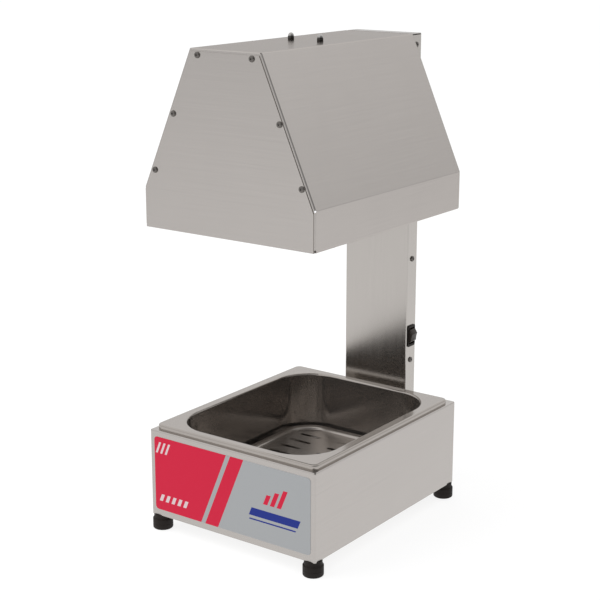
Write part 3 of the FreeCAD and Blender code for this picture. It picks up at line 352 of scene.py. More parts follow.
@dataclass(frozen=True)
class HeatedSheath(Finish):
    """Heater tube: grey oxide with soft bands of straw and blue temper colours."""

    straw: Tone
    blue: Tone
    band_scale: Triple = (18.0, 14.0, 30.0)
    straw_span: Triple = (0.6, 0.35, 0.55)
    blue_span: Triple = (0.7, 0.55, 0.7)
    oxide_scale: float = 600.0
    oxide_share: float = 0.3
    oxide_tone: float = 0.5
    oxide_depth: float = 0.03 * MM
    oxide_strength: float = 0.6
    rough_span: Pair = (-0.05, 0.08)
    metallic: float = 0.8

    def shade(self, board: ShaderBoard) -> bpy.types.Material:
        """Joins the nodes of the sheath.

        Args:
            board: The finish's empty board.

        Returns:
            The material.
        """
        band = board.noise(board.place(self.band_scale), self.SOME)
        oxide = self.even(board, self.oxide_scale, self.MANY)
        tone = board.blend(board.span(band, 0.0, *self.straw_span), self.tone, self.straw)
        tone = board.blend(board.span(band, 0.0, *self.blue_span), tone, self.blue)
        crust = shaded(self.tone, self.oxide_tone)
        tone = board.blend(board.span(oxide, 0.0, self.oxide_share), tone, crust)
        rough = board.math("ADD", board.span(oxide, *self.rough_span), self.roughness)
        return board.surface(Base_Color=tone, Metallic=self.metallic, Roughness=rough,
                             Normal=board.bump(oxide, self.oxide_depth, self.oxide_strength))


@dataclass(frozen=True)
class Moulding(Finish):
    """Moulded plastic or rubber: fine grained skin and a dusty bloom."""

    skin_scale: float = 1400.0
    skin_depth: float = 0.02 * MM
    skin_strength: float = 0.5
    dust_scale: float = 60.0
    bloom: float = 0.25
    bloom_lift: float = 1.5
    rough_span: Pair = (-0.05, 0.07)
    specular: float = 0.3

    def shade(self, board: ShaderBoard) -> bpy.types.Material:
        """Joins the nodes of the moulding.

        Args:
            board: The finish's empty board.

        Returns:
            The material.
        """
        skin = self.even(board, self.skin_scale, self.FEW)
        dust = self.even(board, self.dust_scale, self.MANY)
        tone = board.blend(board.span(dust, 0.0, self.bloom), self.tone, shaded(self.tone, self.bloom_lift))
        rough = board.math("ADD", board.span(dust, *self.rough_span), self.roughness)
        return board.surface(Base_Color=tone, Roughness=rough, Specular_IOR_Level=self.specular,
                             Normal=board.bump(skin, self.skin_depth, self.skin_strength))


@dataclass(frozen=True)
class PrintedFilm(Finish):
    """Printed film: specks and slow fading of the ink under a faintly uneven clear skin."""

    roughness: float = 0.45
    ink_scale: float = 900.0
    ink_tone: float = 0.05
    ink_dark: float = 0.55
    peel_scale: float = 210.0
    peel_depth: float = 0.015 * MM
    peel_strength: float = 0.4
    fade_scale: float = 14.0
    fade_light: float = 1.12
    rough_span: Pair = (-0.03, 0.04)
    specular: float = 0.22

    def shade(self, board: ShaderBoard) -> bpy.types.Material:
        """Joins the nodes of the printed film.

        Args:
            board: The finish's empty board.

        Returns:
            The material.
        """
        ink = self.even(board, self.ink_scale, self.FEW)
        peel = self.even(board, self.peel_scale, self.FEW)
        fade = self.even(board, self.fade_scale, self.FEW)
        tone = board.blend(board.span(ink, 0.0, self.ink_tone), self.tone, shaded(self.tone, self.ink_dark))
        tone = board.blend(board.span(fade, 0.0, self.ink_tone), tone, shaded(self.tone, self.fade_light))
        rough = board.math("ADD", board.span(peel, *self.rough_span), self.roughness)
        return board.surface(Base_Color=tone, Roughness=rough, Specular_IOR_Level=self.specular,
                             Normal=board.bump(peel, self.peel_depth, self.peel_strength))


SATIN: Tone = (0.486, 0.458, 0.436)
DRAWN: Tone = (0.41, 0.377, 0.350)


class Finishes:
    """The finishes of this warmer, by place or material."""

    CASING = SheetSteel("casing_satin_steel", SATIN, 0.24, Grain.ROUND_WALLS)
    COLUMN = SheetSteel("column_satin_steel", SATIN, 0.22, Grain.ALONG_Z)
    # Painted light: the channel's tone is a lighter copy of the shared satin steel tone, raised so the
    # column's front and sides render brighter.
    CHANNEL_PAINTED_LIGHT = SheetSteel("channel_steel_painted_light", (0.502, 0.475, 0.449), 0.21, Grain.ALONG_Z)
    HOOD = SheetSteel("hood_satin_steel", SATIN, 0.24, Grain.ALONG_Y, edge_tint=(0.75, 0.72, 0.70))
    HOOD_END = SheetSteel("hood_end_satin_steel", SATIN, 0.24, Grain.ALONG_X, scratch_turn=0.9)
    PAN = SheetSteel("pan_drawn_steel", DRAWN, 0.155, Grain.ROUND_WALLS, grain_depth=0.0002 * MM,
                     cloud_scale=12.0, metallic=0.91)
    DRAIN = SheetSteel("drain_plate_steel", DRAWN, 0.24, Grain.ALONG_Y, grain_depth=0.0004 * MM,
                       metallic=0.86)
    REFLECTOR = SheetSteel("reflector_aluminium", (0.80, 0.80, 0.81), 0.2, Grain.ALONG_Y)
    ZINC = PlatedMetal("zinc_plating", (0.42, 0.42, 0.43), 0.38)
    SCREW = PlatedMetal("dull_screw_steel", (0.175, 0.162, 0.152), 0.40)
    CHROME = PlatedMetal("nut_chrome", (0.44, 0.427, 0.414), 0.08, mottle_tone=0.04)
    # Painted shade: the hexagon's tone is a much darker copy of the nut's chrome, standing in for the dark
    # reflections on its flats.
    HEXAGON_PAINTED_SHADE = PlatedMetal("nut_hexagon_painted_shade", (0.085, 0.080, 0.076), 0.16, mottle_tone=0.04)
    BRASS = PlatedMetal("plain_brass", (0.62, 0.40, 0.14), 0.3)
    CERAMIC = PlatedMetal("unglazed_ceramic", (0.78, 0.74, 0.66), 0.7, mottle_tone=0.04, metallic=0.0)
    SHEATH = HeatedSheath("heater_sheath", (0.09, 0.09, 0.095), 0.45, straw=(0.16, 0.11, 0.06),
                          blue=(0.05, 0.06, 0.10))
    RUBBER = Moulding("foot_rubber", (0.0165, 0.0130, 0.0110), 0.6, bloom=0.3, specular=0.20)
    NYLON = Moulding("bushing_nylon", (0.028, 0.028, 0.028), 0.5)
    BEZEL = Moulding("bezel_plastic", (0.016, 0.012, 0.010), 0.4, skin_depth=0.03 * MM, specular=0.15)
    ROCKER = Moulding("rocker_plastic", (0.036, 0.027, 0.022), 0.28, skin_depth=0.01 * MM)
    BLOCK = Moulding("terminal_block_plastic", (0.63, 0.63, 0.60), 0.55, bloom_lift=0.85)
    WIRE_BROWN = Moulding("wire_brown_sleeve", (0.07, 0.028, 0.012), 0.5)
    WIRE_BLUE = Moulding("wire_blue_sleeve", (0.012, 0.05, 0.24), 0.5)
    WIRE_GREEN = Moulding("wire_green_sleeve", (0.03, 0.17, 0.04), 0.5)
    LABEL_GREY = PrintedFilm("label_grey_field", (0.386, 0.397, 0.407))
    LABEL_RED = PrintedFilm("label_red_field", (0.64, 0.008, 0.046))
    LABEL_BLUE = PrintedFilm("label_blue_bars", (0.010, 0.026, 0.24))
    LABEL_PALE = PrintedFilm("label_pale_bars", (0.74, 0.60, 0.62))


@dataclass(frozen=True)
class Piece:
    """A finished piece: its name, its body, its slot and the nodes it replaces; nothing reads the slot."""

    name: str
    body: str
    slot: str
    replaces: tuple[str, ...]

    def publish(self, shape: Shape, finishes: Iterable[Finish]) -> None:
        """Turns a shape into a dressed object on its body.

        Args:
            shape: The finished shape in metres, in the frame's place. It is freed.
            finishes: Finishes in the order of the shape's material numbers.
        """
        bmesh.ops.remove_doubles(shape, verts=shape.verts, dist=MERGE_DISTANCE)
        bmesh.ops.recalc_face_normals(shape, faces=shape.faces)
        mesh = bpy.data.meshes.new(self.name)
        shape.to_mesh(mesh)
        shape.free()
        for finish in finishes:
            mesh.materials.append(finish.material())
        mesh.shade_smooth()
        mesh.set_sharp_from_angle(angle=SHARP_ANGLE)
        made = bpy.data.objects.new(self.name, mesh)
        bpy.context.scene.collection.objects.link(made)
        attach(made, self.body)
        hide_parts(*self.replaces)
        LOG.info("built %s: %d faces on %s", self.name, len(mesh.polygons), self.body)


def dress(node: str, finish: Finish) -> None:
    """Gives a carried-over node its finish.

    Args:
        node: The node's name.
        finish: The finish of all its faces.
    """
    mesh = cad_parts[node].data
    mesh.materials.clear()
    mesh.materials.append(finish.material())
    LOG.info("dressed %s with %s", node, finish.name)


def separate_solids(node: str) -> list[Span]:
    """Boxes of a node's separate solids.

    Args:
        node: The node's name.

    Returns:
        Lowest and highest corner of each solid, in the order of their lowest corners.
    """
    shape = bmesh.new()
    shape.from_mesh(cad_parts[node].data)
    bmesh.ops.remove_doubles(shape, verts=shape.verts, dist=MERGE_DISTANCE)
    left = set(shape.verts)
    spans = []
    while left:
        reached = {left.pop()}
        waiting = list(reached)
        while waiting:
            vert = waiting.pop()
            near = {edge.other_vert(vert) for edge in vert.link_edges} - reached
            reached |= near
            waiting.extend(near)
        left -= reached
        low = Vector(min(v.co[axis] for v in reached) for axis in range(3))
        high = Vector(max(v.co[axis] for v in reached) for axis in range(3))
        spans.append((low, high))
    shape.free()
    return sorted(spans, key=lambda span: tuple(round(c, ORDER_DIGITS) for c in span[0]))


def middle(span: Span) -> Vector:
    """Centre of a box."""
    return (span[0] + span[1]) / 2


def facing(axis: Vector, at: Vector) -> Matrix:
    """Placement that turns local Z to an axis and moves the origin to a point."""
    return Matrix.Translation(at) @ Z_AXIS.rotation_difference(axis).to_matrix().to_4x4()


def quarter_turn(steps: int) -> list[float]:
    """Angles from nothing to a right angle, in radians."""
    return [math.radians(90 * step / steps) for step in range(steps + 1)]


def spin_profile(shape: Shape, outline: Iterable[Pair], steps: int, closed: bool = False) -> None:
    """Turns an outline of radius and height round local Z.

    Args:
        shape: Receives the turned skin.
        outline: Radius and height of each corner, in millimetres.
        steps: Steps of the full turn.
        closed: Joins the last corner to the first.
    """
    before = set(shape.verts)
    row = [shape.verts.new((radius * MM, 0, height * MM)) for radius, height in outline]
    edges = [shape.edges.new(pair) for pair in zip(row, row[1:])]
    if closed:
        edges.append(shape.edges.new((row[-1], row[0])))
    bmesh.ops.spin(shape, geom=row + edges, axis=Z_AXIS, cent=(0, 0, 0), angle=math.tau, steps=steps,
                   use_merge=True)
    made = [vert for vert in shape.verts if vert not in before]
    bmesh.ops.remove_doubles(shape, verts=made, dist=MERGE_DISTANCE)


def round_rings(shape: Shape, rings: Iterable[Triple], segments: int = 3) -> None:
    """Rounds ring-shaped edges of a turned skin about local Z.

    Args:
        shape: The turned skin.
        rings: Radius, height and rounding of each ring, in millimetres.
        segments: Steps of each rounding.
    """
    for radius, height, rounding in rings:

        def on_ring(edge: bmesh.types.BMEdge) -> bool:
            """Whether an edge lies on the ring."""
            ends = [(math.hypot(v.co.x, v.co.y), v.co.z) for v in edge.verts]
            return all(abs(r - radius * MM) < TOUCH and abs(z - height * MM) < TOUCH for r, z in ends)

        round_edges(shape, on_ring, rounding * MM, segments)


def round_edges(shape: Shape, chosen: Callable[[bmesh.types.BMEdge], bool], radius: float,
                segments: int = 3) -> None:
    """Rounds the edges that a test chooses, by a width in metres."""
    bmesh.ops.bevel(shape, geom=[edge for edge in shape.edges if chosen(edge)], offset=radius,
                    segments=segments, profile=0.5, affect="EDGES", material=-1)


def crease(edge: bmesh.types.BMEdge) -> bool:
    """Whether an edge is a clear corner between two faces."""
    return len(edge.link_faces) == 2 and edge.calc_face_angle() > SHARP_ANGLE


def rounded_face(shape: Shape, width: float, height: float, radius: float,
                 segments: int = 8) -> bmesh.types.BMFace:
    """Lays a flat rectangle with round corners on local XY.

    Args:
        shape: Receives the face.
        width: Size along X, in metres.
        height: Size along Y, in metres.
        radius: Corner radius, in metres.
        segments: Steps of each corner.

    Returns:
        The face.
    """
    before = set(shape.faces)
    corners = bmesh.ops.create_grid(shape, x_segments=1, y_segments=1, size=0.5)["verts"]
    bmesh.ops.scale(shape, verts=corners, vec=(width, height, 1))
    bmesh.ops.bevel(shape, geom=corners, offset=radius, segments=segments, profile=0.5,
                    affect="VERTICES", material=-1)
    return next(face for face in shape.faces if face not in before)


def raise_faces(shape: Shape, faces: list[bmesh.types.BMFace], by: Vector) -> None:
    """Draws faces out by a step in metres, into a block with a floor."""
    raised = bmesh.ops.extrude_face_region(shape, geom=faces, use_keep_orig=True)["geom"]
    bmesh.ops.translate(shape, verts=[g for g in raised if isinstance(g, bmesh.types.BMVert)], vec=by)


def hex_prism(shape: Shape, across_flats: float, height: float) -> None:
    """Six-sided block that stands on local XY.

    Args:
        shape: Receives the block.
        across_flats: Size over the flats, in metres.
        height: Height, in metres.
    """
    radius = across_flats / math.sqrt(3)
    verts = bmesh.ops.create_cone(shape, cap_ends=True, segments=6, radius1=radius, radius2=radius,
                                  depth=height)["verts"]
    bmesh.ops.rotate(shape, verts=verts, matrix=Matrix.Rotation(math.pi / 6, 3, "Z"))
    bmesh.ops.translate(shape, verts=verts, vec=(0, 0, height / 2))


@dataclass(frozen=True)
class SocketScrew:
    """Low domed machine screw with a hexagon socket; sizes in millimetres."""

    head_d: float
    head_h: float
    shank_d: float
    shank_l: float
    socket_af: float = 2.2
    socket_depth: float = 1.3
    socket_cone: float = 0.35
    rim_h: float = 0.7
    head_break: float = 0.12
    tip_break: float = 0.4
    thread_pitch: float = 0.9
    thread_depth: float = 0.22
    dome_steps: int = 5
    steps: int = 24

    FLAT_SHARE = 1.35
    WALL_SHARES = (0.9, 1.15)

    def build(self, at: Vector, axis: Vector) -> Shape:
        """Builds the screw.

        Args:
            at: Underside of the head.
            axis: Way that the head points.

        Returns:
            The shape, in place.
        """
        shape = bmesh.new()
        spin_profile(shape, self.head_outline() + self.shank_outline(), self.steps)
        self.cut_socket(shape)
        bmesh.ops.transform(shape, matrix=facing(axis, at), verts=shape.verts)
        return shape

    def head_outline(self) -> list[Pair]:
        """Outline from the socket's floor over the dome to the head's underside.

        Returns:
            Radius and height of each corner.
        """
        head_r, socket_r, small = self.head_d / 2, self.socket_af / 2, self.head_break
        floor = self.head_h - self.socket_depth
        flat_r = socket_r * self.FLAT_SHARE
        outline = [(0, floor - self.socket_cone), (socket_r, floor), (socket_r, self.head_h - small),
                   (socket_r + small, self.head_h)]
        for turn in quarter_turn(self.dome_steps):
            radius = flat_r + (head_r - flat_r) * math.sin(turn)
            outline.append((radius, self.rim_h + (self.head_h - self.rim_h) * math.cos(turn)))
        return outline + [(head_r, small), (head_r - small, 0)]

    def shank_outline(self) -> list[Pair]:
        """Outline of the threaded shank down to its tip.

        Returns:
            Radius and height of each corner.
        """
        shank_r, end = self.shank_d / 2, -self.shank_l
        outline = [(shank_r, 0)]
        depth = -self.thread_pitch
        while depth > end + self.thread_pitch:
            outline.append((shank_r - self.thread_depth, depth + self.thread_pitch / 2))
            outline.append((shank_r, depth))
            depth -= self.thread_pitch
        return outline + [(shank_r, end + self.tip_break), (shank_r - self.tip_break, end), (0, end)]

    def cut_socket(self, shape: Shape) -> None:
        """Moves the socket's round wall out to six flats.

        Args:
            shape: The turned screw.
        """
        floor = (self.head_h - self.socket_depth - self.rim_h) * MM
        least, most = (share * self.socket_af / 2 * MM for share in self.WALL_SHARES)
        for vert in shape.verts:
            radius = math.hypot(vert.co.x, vert.co.y)
            if vert.co.z > floor and least < radius < most:
                side = math.atan2(vert.co.y, vert.co.x) % (math.pi / 3) - math.pi / 6
                vert.co.x /= math.cos(side)
                vert.co.y /= math.cos(side)


def join(shapes: Iterable[Shape]) -> Shape:
    """Puts several shapes into one and frees them.

    Args:
        shapes: The shapes, each in place.

    Returns:
        The joined shape.
    """
    whole = bmesh.new()
    for shape in shapes:
        part = bpy.data.meshes.new("part")
        shape.to_mesh(part)
        shape.free()
        whole.from_mesh(part)
        bpy.data.meshes.remove(part)
    return whole


@dataclass(frozen=True)
class PhotoStudio:
    """Camera, floor, surround and key lamp."""

    camera_at: Triple = (1.1249, -1.5673, 0.8227)
    view_back: Triple = (0.5709, -0.7791, 0.2588)
    lens_mm: float = 87.3
    sensor_mm: float = 36.0
    floor_size: float = 60.0
    floor_cells: int = 4
    floor_tone: Tone = (0.97, 0.97, 0.97)
    floor_glow: float = 0.78
    floor_strength: float = 1.08
    rise_stops: tuple[Pair, ...] = (
        (-1.0, 1.0), (-0.24, 1.0), (-0.13, 0.90), (-0.06, 0.77), (0.0, 0.70), (0.12, 0.68),
        (0.30, 0.90), (0.44, 1.0), (1.0, 1.0))
    open_side: Triple = (0.966, -0.259, 0.0)
    open_edges: Pair = (0.30, 0.80)
    open_rise: Pair = (-0.20, 0.02)
    open_loss: float = 0.68
    key_energy: float = 48.0
    key_size: float = 2.4
    key_at: Triple = (-1.7, -1.6, 2.9)
    key_aim: Triple = (0.0, 0.0, 0.3)

    def set_up(self) -> None:
        """Places everything that isn't part of the warmer."""
        self.place_camera()
        self.lay_floor()
        self.light_surround()
        self.hang_key_lamp()
        bpy.context.scene.view_settings.view_transform = "Standard"

    def place_camera(self) -> None:
        """Sets the camera at the photograph's angle."""
        data = bpy.data.cameras.new("photo_camera")
        data.lens = self.lens_mm
        data.sensor_width = self.sensor_mm
        data.clip_end = 2 * self.floor_size
        camera = bpy.data.objects.new("photo_camera", data)
        camera.location = self.camera_at
        camera.rotation_euler = Vector(self.view_back).to_track_quat("Z", "Y").to_euler()
        bpy.context.scene.collection.objects.link(camera)
        bpy.context.scene.camera = camera

    def lay_floor(self) -> None:
        """Lays a plain pale floor that keeps the warmer's shadow."""
        shape = bmesh.new()
        bmesh.ops.create_grid(shape, x_segments=self.floor_cells, y_segments=self.floor_cells,
                              size=self.floor_size / 2)
        mesh = bpy.data.meshes.new("studio_floor")
        shape.to_mesh(mesh)
        shape.free()
        mesh.materials.append(self.floor_material())
        floor = bpy.data.objects.new("studio_floor", mesh)
        bpy.context.scene.collection.objects.link(floor)
        floor.visible_diffuse = False
        floor.visible_glossy = False
        floor.visible_transmission = False
        floor.visible_shadow = False

    def floor_material(self) -> bpy.types.Material:
        """Pale paint with a glow that makes it white where no shadow lies.

        Returns:
            The material.
        """
        board = ShaderBoard.of_finish("studio_floor_paint")
        paint = board.node("ShaderNodeBsdfDiffuse", {"Color": as_rgba(self.floor_tone)})
        glow = {"Color": as_rgba(WHITE), "Strength": self.floor_strength}
        light = board.node("ShaderNodeEmission", glow)
        parts = {0: self.floor_glow, 1: paint.outputs[0], 2: light.outputs[0]}
        mixed = board.node("ShaderNodeMixShader", parts)
        board.node("ShaderNodeOutputMaterial", {"Surface": mixed.outputs[0]})
        return board.owner

    def light_surround(self) -> None:
        """Surrounds the scene with plain pale light, white where the camera sees it.

        The light is weaker near the level of the eye, and weaker again above the open side.
        """
        board = ShaderBoard(bpy.data.worlds.new("studio_surround"))
        bpy.context.scene.world = board.owner
        way = board.node("ShaderNodeTexCoord").outputs["Generated"]
        rise = board.node("ShaderNodeSeparateXYZ", {0: way}).outputs["Z"]
        light = board.ramp(rise, self.rise_stops)
        sideways = {0: way, 1: self.open_side}
        turned = board.node("ShaderNodeVectorMath", sideways, operation="DOT_PRODUCT")
        beside = board.span(turned.outputs["Value"], 0.0, self.open_loss, *self.open_edges)
        above = board.span(rise, 0.0, 1.0, *self.open_rise)
        kept = board.math("SUBTRACT", 1.0, board.math("MULTIPLY", beside, above))
        light = board.math("MULTIPLY", light, kept)
        seen = board.node("ShaderNodeLightPath").outputs["Is Camera Ray"]
        white = board.node("ShaderNodeMix", {0: seen, 2: light, 3: 1.0}, data_type="FLOAT").outputs[0]
        surround = board.node("ShaderNodeBackground", {"Color": as_rgba(WHITE), "Strength": white})
        board.node("ShaderNodeOutputWorld", {"Surface": surround.outputs[0]})

    def hang_key_lamp(self) -> None:
        """Hangs one large soft lamp ahead of the warmer."""
        data = bpy.data.lights.new("key_lamp", "AREA")
        data.energy = self.key_energy
        data.size = self.key_size
        lamp = bpy.data.objects.new("key_lamp", data)
        lamp.location = self.key_at
        lamp.visible_glossy = False
        towards = Vector(self.key_at) - Vector(self.key_aim)
        lamp.rotation_euler = towards.to_track_quat("Z", "Y").to_euler()
        bpy.context.scene.collection.objects.link(lamp)


@dataclass(frozen=True)
class Feet:
    """Four two-step rubber feet and their fixings; sizes in millimetres."""

    pad_d: float = 27.7
    pad_h: float = 15.0
    collar_d: float = 24.2
    height: float = 21.5
    edge_r: float = 2.0
    shoulder_r: float = 1.0
    collar_fillet: float = 0.8
    rounding_steps: int = 4
    socket_d: float = 12.4
    socket_depth: float = 9.0
    socket_break: float = 0.3
    bore_d: float = 6.3
    seam_z: float = 8.0
    seam_depth: float = 0.25
    seam_w: float = 0.5
    tread_rings: tuple[float, ...] = (8.2, 9.8)
    tread_depth: float = 0.5
    tread_mouth: float = 0.4
    tread_root: float = 0.2
    steps: int = 64

    def build(self) -> None:
        """Builds the feet and dresses their fixings."""
        for name in ("foot_front_left", "foot_front_right", "foot_rear_left", "foot_rear_right"):
            at = middle(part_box(name))
            shape = self.turned_foot()
            bmesh.ops.translate(shape, verts=shape.verts, vec=(at.x, at.y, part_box(name)[0].z))
            Piece(f"{name}_rubber", "frame", "black_rubber", (name,)).publish(shape, [Finishes.RUBBER])
        for node in ("foot_screws", "foot_washers", "foot_nuts"):
            dress(node, Finishes.ZINC)

    def turned_foot(self) -> Shape:
        """Turns one foot.

        Returns:
            The shape, standing on local XY.
        """
        shape = bmesh.new()
        pad_r, collar_r = self.pad_d / 2, self.collar_d / 2
        socket_r, bore_r = self.socket_d / 2, self.bore_d / 2
        mouth, root, depth = self.tread_mouth, self.tread_root, self.tread_depth
        seam_z, seam_half = self.seam_z, self.seam_w / 2
        outline = [(socket_r, self.socket_break), (socket_r + self.socket_break, 0)]
        for ring in self.tread_rings:
            outline += [(ring - mouth, 0), (ring - root, depth), (ring + root, depth), (ring + mouth, 0)]
        outline += [(pad_r, 0), (pad_r, seam_z - seam_half), (pad_r - self.seam_depth, seam_z),
                    (pad_r, seam_z + seam_half), (pad_r, self.pad_h), (collar_r, self.pad_h),
                    (collar_r, self.height), (bore_r, self.height), (bore_r, self.socket_depth),
                    (socket_r, self.socket_depth)]
        spin_profile(shape, outline, self.steps, closed=True)
        rings = [(pad_r, 0, self.edge_r), (pad_r, self.pad_h, self.shoulder_r),
                 (collar_r, self.pad_h, self.collar_fillet)]
        round_rings(shape, rings, self.rounding_steps)
        return shape


class Ink(IntEnum):
    """Material number of each ink on the label."""

    GREY = 0
    RED = 1
    BLUE = 2
    PALE = 3


@dataclass(frozen=True)
class Bar:
    """One slanted printed bar: its span along the label's foot, its rise and its ink."""

    left: float
    right: float
    low: float
    high: float
    ink: Ink


@dataclass(frozen=True)
class BarRow:
    """Bars of one width side by side, each with its own rise."""

    first: float
    pitch: float
    width: float
    rises: tuple[Pair, ...]
    ink: Ink

    def bars(self) -> list[Bar]:
        """The row's bars from left to right."""
        lefts = [self.first + count * self.pitch for count in range(len(self.rises))]
        return [Bar(left, left + self.width, *rise, self.ink) for left, rise in zip(lefts, self.rises)]


@dataclass(frozen=True)
class FrontLabel:
    """Thin printed film on the casing's front: two fields with slanted bars; sizes in millimetres."""

    corner_r: float = 5.0
    lean: float = 0.42
    field: Bar = Bar(-400.0, -50.0, -200.0, 200.0, Ink.RED)
    stripe: Bar = Bar(-43.0, -21.0, -200.0, 200.0, Ink.RED)
    pale: BarRow = BarRow(-129.0, 10.5, 5.5, ((13.0, 23.0),) * 5, Ink.PALE)
    badge: BarRow = BarRow(-163.0, 8.0, 3.5, ((82.0, 98.0),) * 3, Ink.PALE)
    mark: BarRow = BarRow(33.0, 11.0, 7.0, ((52.0, 66.0), (52.0, 72.0), (52.0, 78.0)), Ink.RED)
    plinth: Bar = Bar(18.0, 97.0, 32.0, 43.0, Ink.BLUE)
    hairline: Bar = Bar(21.0, 96.0, 26.0, 28.0, Ink.BLUE)

    def bars(self) -> list[Bar]:
        """Every printed bar; a later one lies over an earlier one."""
        rows = [*self.pale.bars(), *self.badge.bars(), *self.mark.bars()]
        return [self.field, self.stripe, *rows, self.plinth, self.hairline]

    def build(self) -> None:
        """Builds the label as a thin sheet whose faces carry the inks in the order of Ink."""
        low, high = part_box("front_label")
        size = high - low
        shape = bmesh.new()
        rounded_face(shape, size.x, size.z, self.corner_r * MM)
        foot = -size.z / 2
        for bar in self.bars():
            self.cut_bar(shape, bar, foot)
        for face in shape.faces:
            face.material_index = self.ink_at(face.calc_center_median(), foot)
        raise_faces(shape, list(shape.faces), Vector((0, 0, size.y)))
        upright = Matrix(((1, 0, 0), (0, 0, -1), (0, 1, 0))).to_4x4()
        centre = middle((low, high))
        place = Matrix.Translation((centre.x, high.y, centre.z)) @ upright
        bmesh.ops.transform(shape, matrix=place, verts=shape.verts)
        Piece("front_label_film", "frame", "label_print", ("front_label",)).publish(
            shape, [Finishes.LABEL_GREY, Finishes.LABEL_RED, Finishes.LABEL_BLUE, Finishes.LABEL_PALE])

    def cut_bar(self, shape: Shape, bar: Bar, foot: float) -> None:
        """Cuts the flat sheet along a bar's four sides.

        Args:
            shape: The flat sheet on local XY.
            bar: The bar.
            foot: Height of the label's lower edge, in metres.
        """
        slanted = Vector((1, -self.lean, 0))
        for across in (bar.left, bar.right):
            self.cut(shape, Vector((across * MM, foot, 0)), slanted)
        for rise in (bar.low, bar.high):
            self.cut(shape, Vector((0, foot + rise * MM, 0)), Y_AXIS)

    def cut(self, shape: Shape, at: Vector, across: Vector) -> None:
        """Cuts the whole sheet along one plane through a point."""
        geom = [*shape.verts, *shape.edges, *shape.faces]
        bmesh.ops.bisect_plane(shape, geom=geom, plane_co=at, plane_no=across)

    def ink_at(self, point: Vector, foot: float) -> Ink:
        """Ink at a point of the sheet.

        Args:
            point: The point on local XY.
            foot: Height of the label's lower edge, in metres.

        Returns:
            The uppermost ink there.
        """
        rise = (point.y - foot) / MM
        across = point.x / MM - self.lean * rise
        ink = Ink.GREY
        for bar in self.bars():
            if bar.left < across < bar.right and bar.low < rise < bar.high:
                ink = bar.ink
        return ink


class Casing:
    """Folded base casing and its label."""

    def build(self) -> None:
        """Dresses the casing and builds its label."""
        dress("base_casing", Finishes.CASING)
        FrontLabel().build()


class PanSet:
    """Lift-out pan with its slotted drain plate."""

    def build(self) -> None:
        """Dresses the pan and the plate."""
        dress("pan", Finishes.PAN)
        dress("drain_plate", Finishes.DRAIN)


@dataclass(frozen=True)
class CordBushing:
    """Cord bushing: threaded body, round flange and grooved nose; sizes in millimetres."""

    bore_r: float = 3.7
    body_r: float = 6.25
    shoulder_r: float = 8.6
    nose_r: float = 7.25
    flange_t: float = 3.0
    flange_edge_r: float = 0.8
    flange_foot_r: float = 0.3
    mouth_break: Pair = (0.5, 0.6)
    body_break: float = 0.4
    nose_break: float = 0.8
    grooves: int = 3
    groove_first: float = 1.4
    groove_pitch: float = 2.2
    groove_depth: float = 0.5
    groove_ends: Pair = (0.3, 0.9)
    rib_edge: Pair = (0.15, 1.2)
    steps: int = 48

    def build(self) -> None:
        """Builds the bushing in the column's rear."""
        low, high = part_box("cord_gland")
        at = middle((low, high))
        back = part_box("column_cover")[1].y
        reach, inner, flange_r = (high.y - back) / MM, (low.y - back) / MM, (high.x - low.x) / 2 / MM
        outline = [(self.bore_r + self.mouth_break[0], reach), (self.bore_r, reach - self.mouth_break[1]),
                   (self.bore_r, inner), (self.body_r - self.body_break, inner),
                   (self.body_r, inner + self.body_break), (self.body_r, 0), (flange_r, 0),
                   (flange_r, self.flange_t), (self.shoulder_r, self.flange_t), *self.nose_outline(reach)]
        shape = bmesh.new()
        spin_profile(shape, outline, self.steps, closed=True)
        rings = [(flange_r, self.flange_t, self.flange_edge_r), (flange_r, 0, self.flange_foot_r)]
        round_rings(shape, rings)
        place = facing(Y_AXIS, Vector((at.x, back, at.z)))
        bmesh.ops.transform(shape, matrix=place, verts=shape.verts)
        Piece("cord_bushing", "frame", "black_nylon", ("cord_gland",)).publish(shape, [Finishes.NYLON])

    def nose_outline(self, reach: float) -> list[Pair]:
        """Outline of the grooved nose.

        Args:
            reach: Distance of the nose's end from the column's rear.

        Returns:
            Radius and height of each corner.
        """
        outline = []
        for groove in range(self.grooves):
            along = self.flange_t + self.groove_first + groove * self.groove_pitch
            narrowing = (self.shoulder_r - self.nose_r) * (along - self.flange_t) / (reach - self.flange_t)
            radius = self.shoulder_r - narrowing
            outline.append((radius, along))
            outline += [(radius - self.groove_depth, along + end) for end in self.groove_ends]
            outline.append((radius - self.rib_edge[0], along + self.rib_edge[1]))
        return outline + [(self.nose_r, reach - self.nose_break), (self.nose_r - self.nose_break, reach)]


@dataclass(frozen=True)
class Column:
    """Box column with its screws and the cord bushing; sizes in millimetres."""

    shank_d: float = 3.9
    shank_l: float = 6.0

    def build(self) -> None:
        """Dresses the column's sheets and builds its screws and bushing."""
        dress("column_channel", Finishes.CHANNEL_PAINTED_LIGHT)
        dress("column_cover", Finishes.COLUMN)
        for node in ("casing_bolts", "casing_bolt_nuts", "hood_bolts", "hood_bolt_nuts", "block_screws"):
            dress(node, Finishes.ZINC)
        dress("gland_nut", Finishes.NYLON)
        self.build_screws()
        CordBushing().build()

    def build_screws(self) -> None:
        """Builds the screws down both sides."""
        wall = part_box("column_cover")[1].x
        shapes = []
        for low, high in separate_solids("column_screws"):
            side = math.copysign(1.0, middle((low, high)).x)
            tip = max(abs(low.x), abs(high.x))
            head_d, head_h = (high.z - low.z) / MM, (tip - wall) / MM
            at = middle((low, high))
            at.x = side * wall
            shapes.append(SocketScrew(head_d, head_h, self.shank_d, self.shank_l).build(at, X_AXIS * side))
        Piece("column_side_screws", "frame", "dark_screws", ("column_screws",)).publish(
            join(shapes), [Finishes.SCREW])


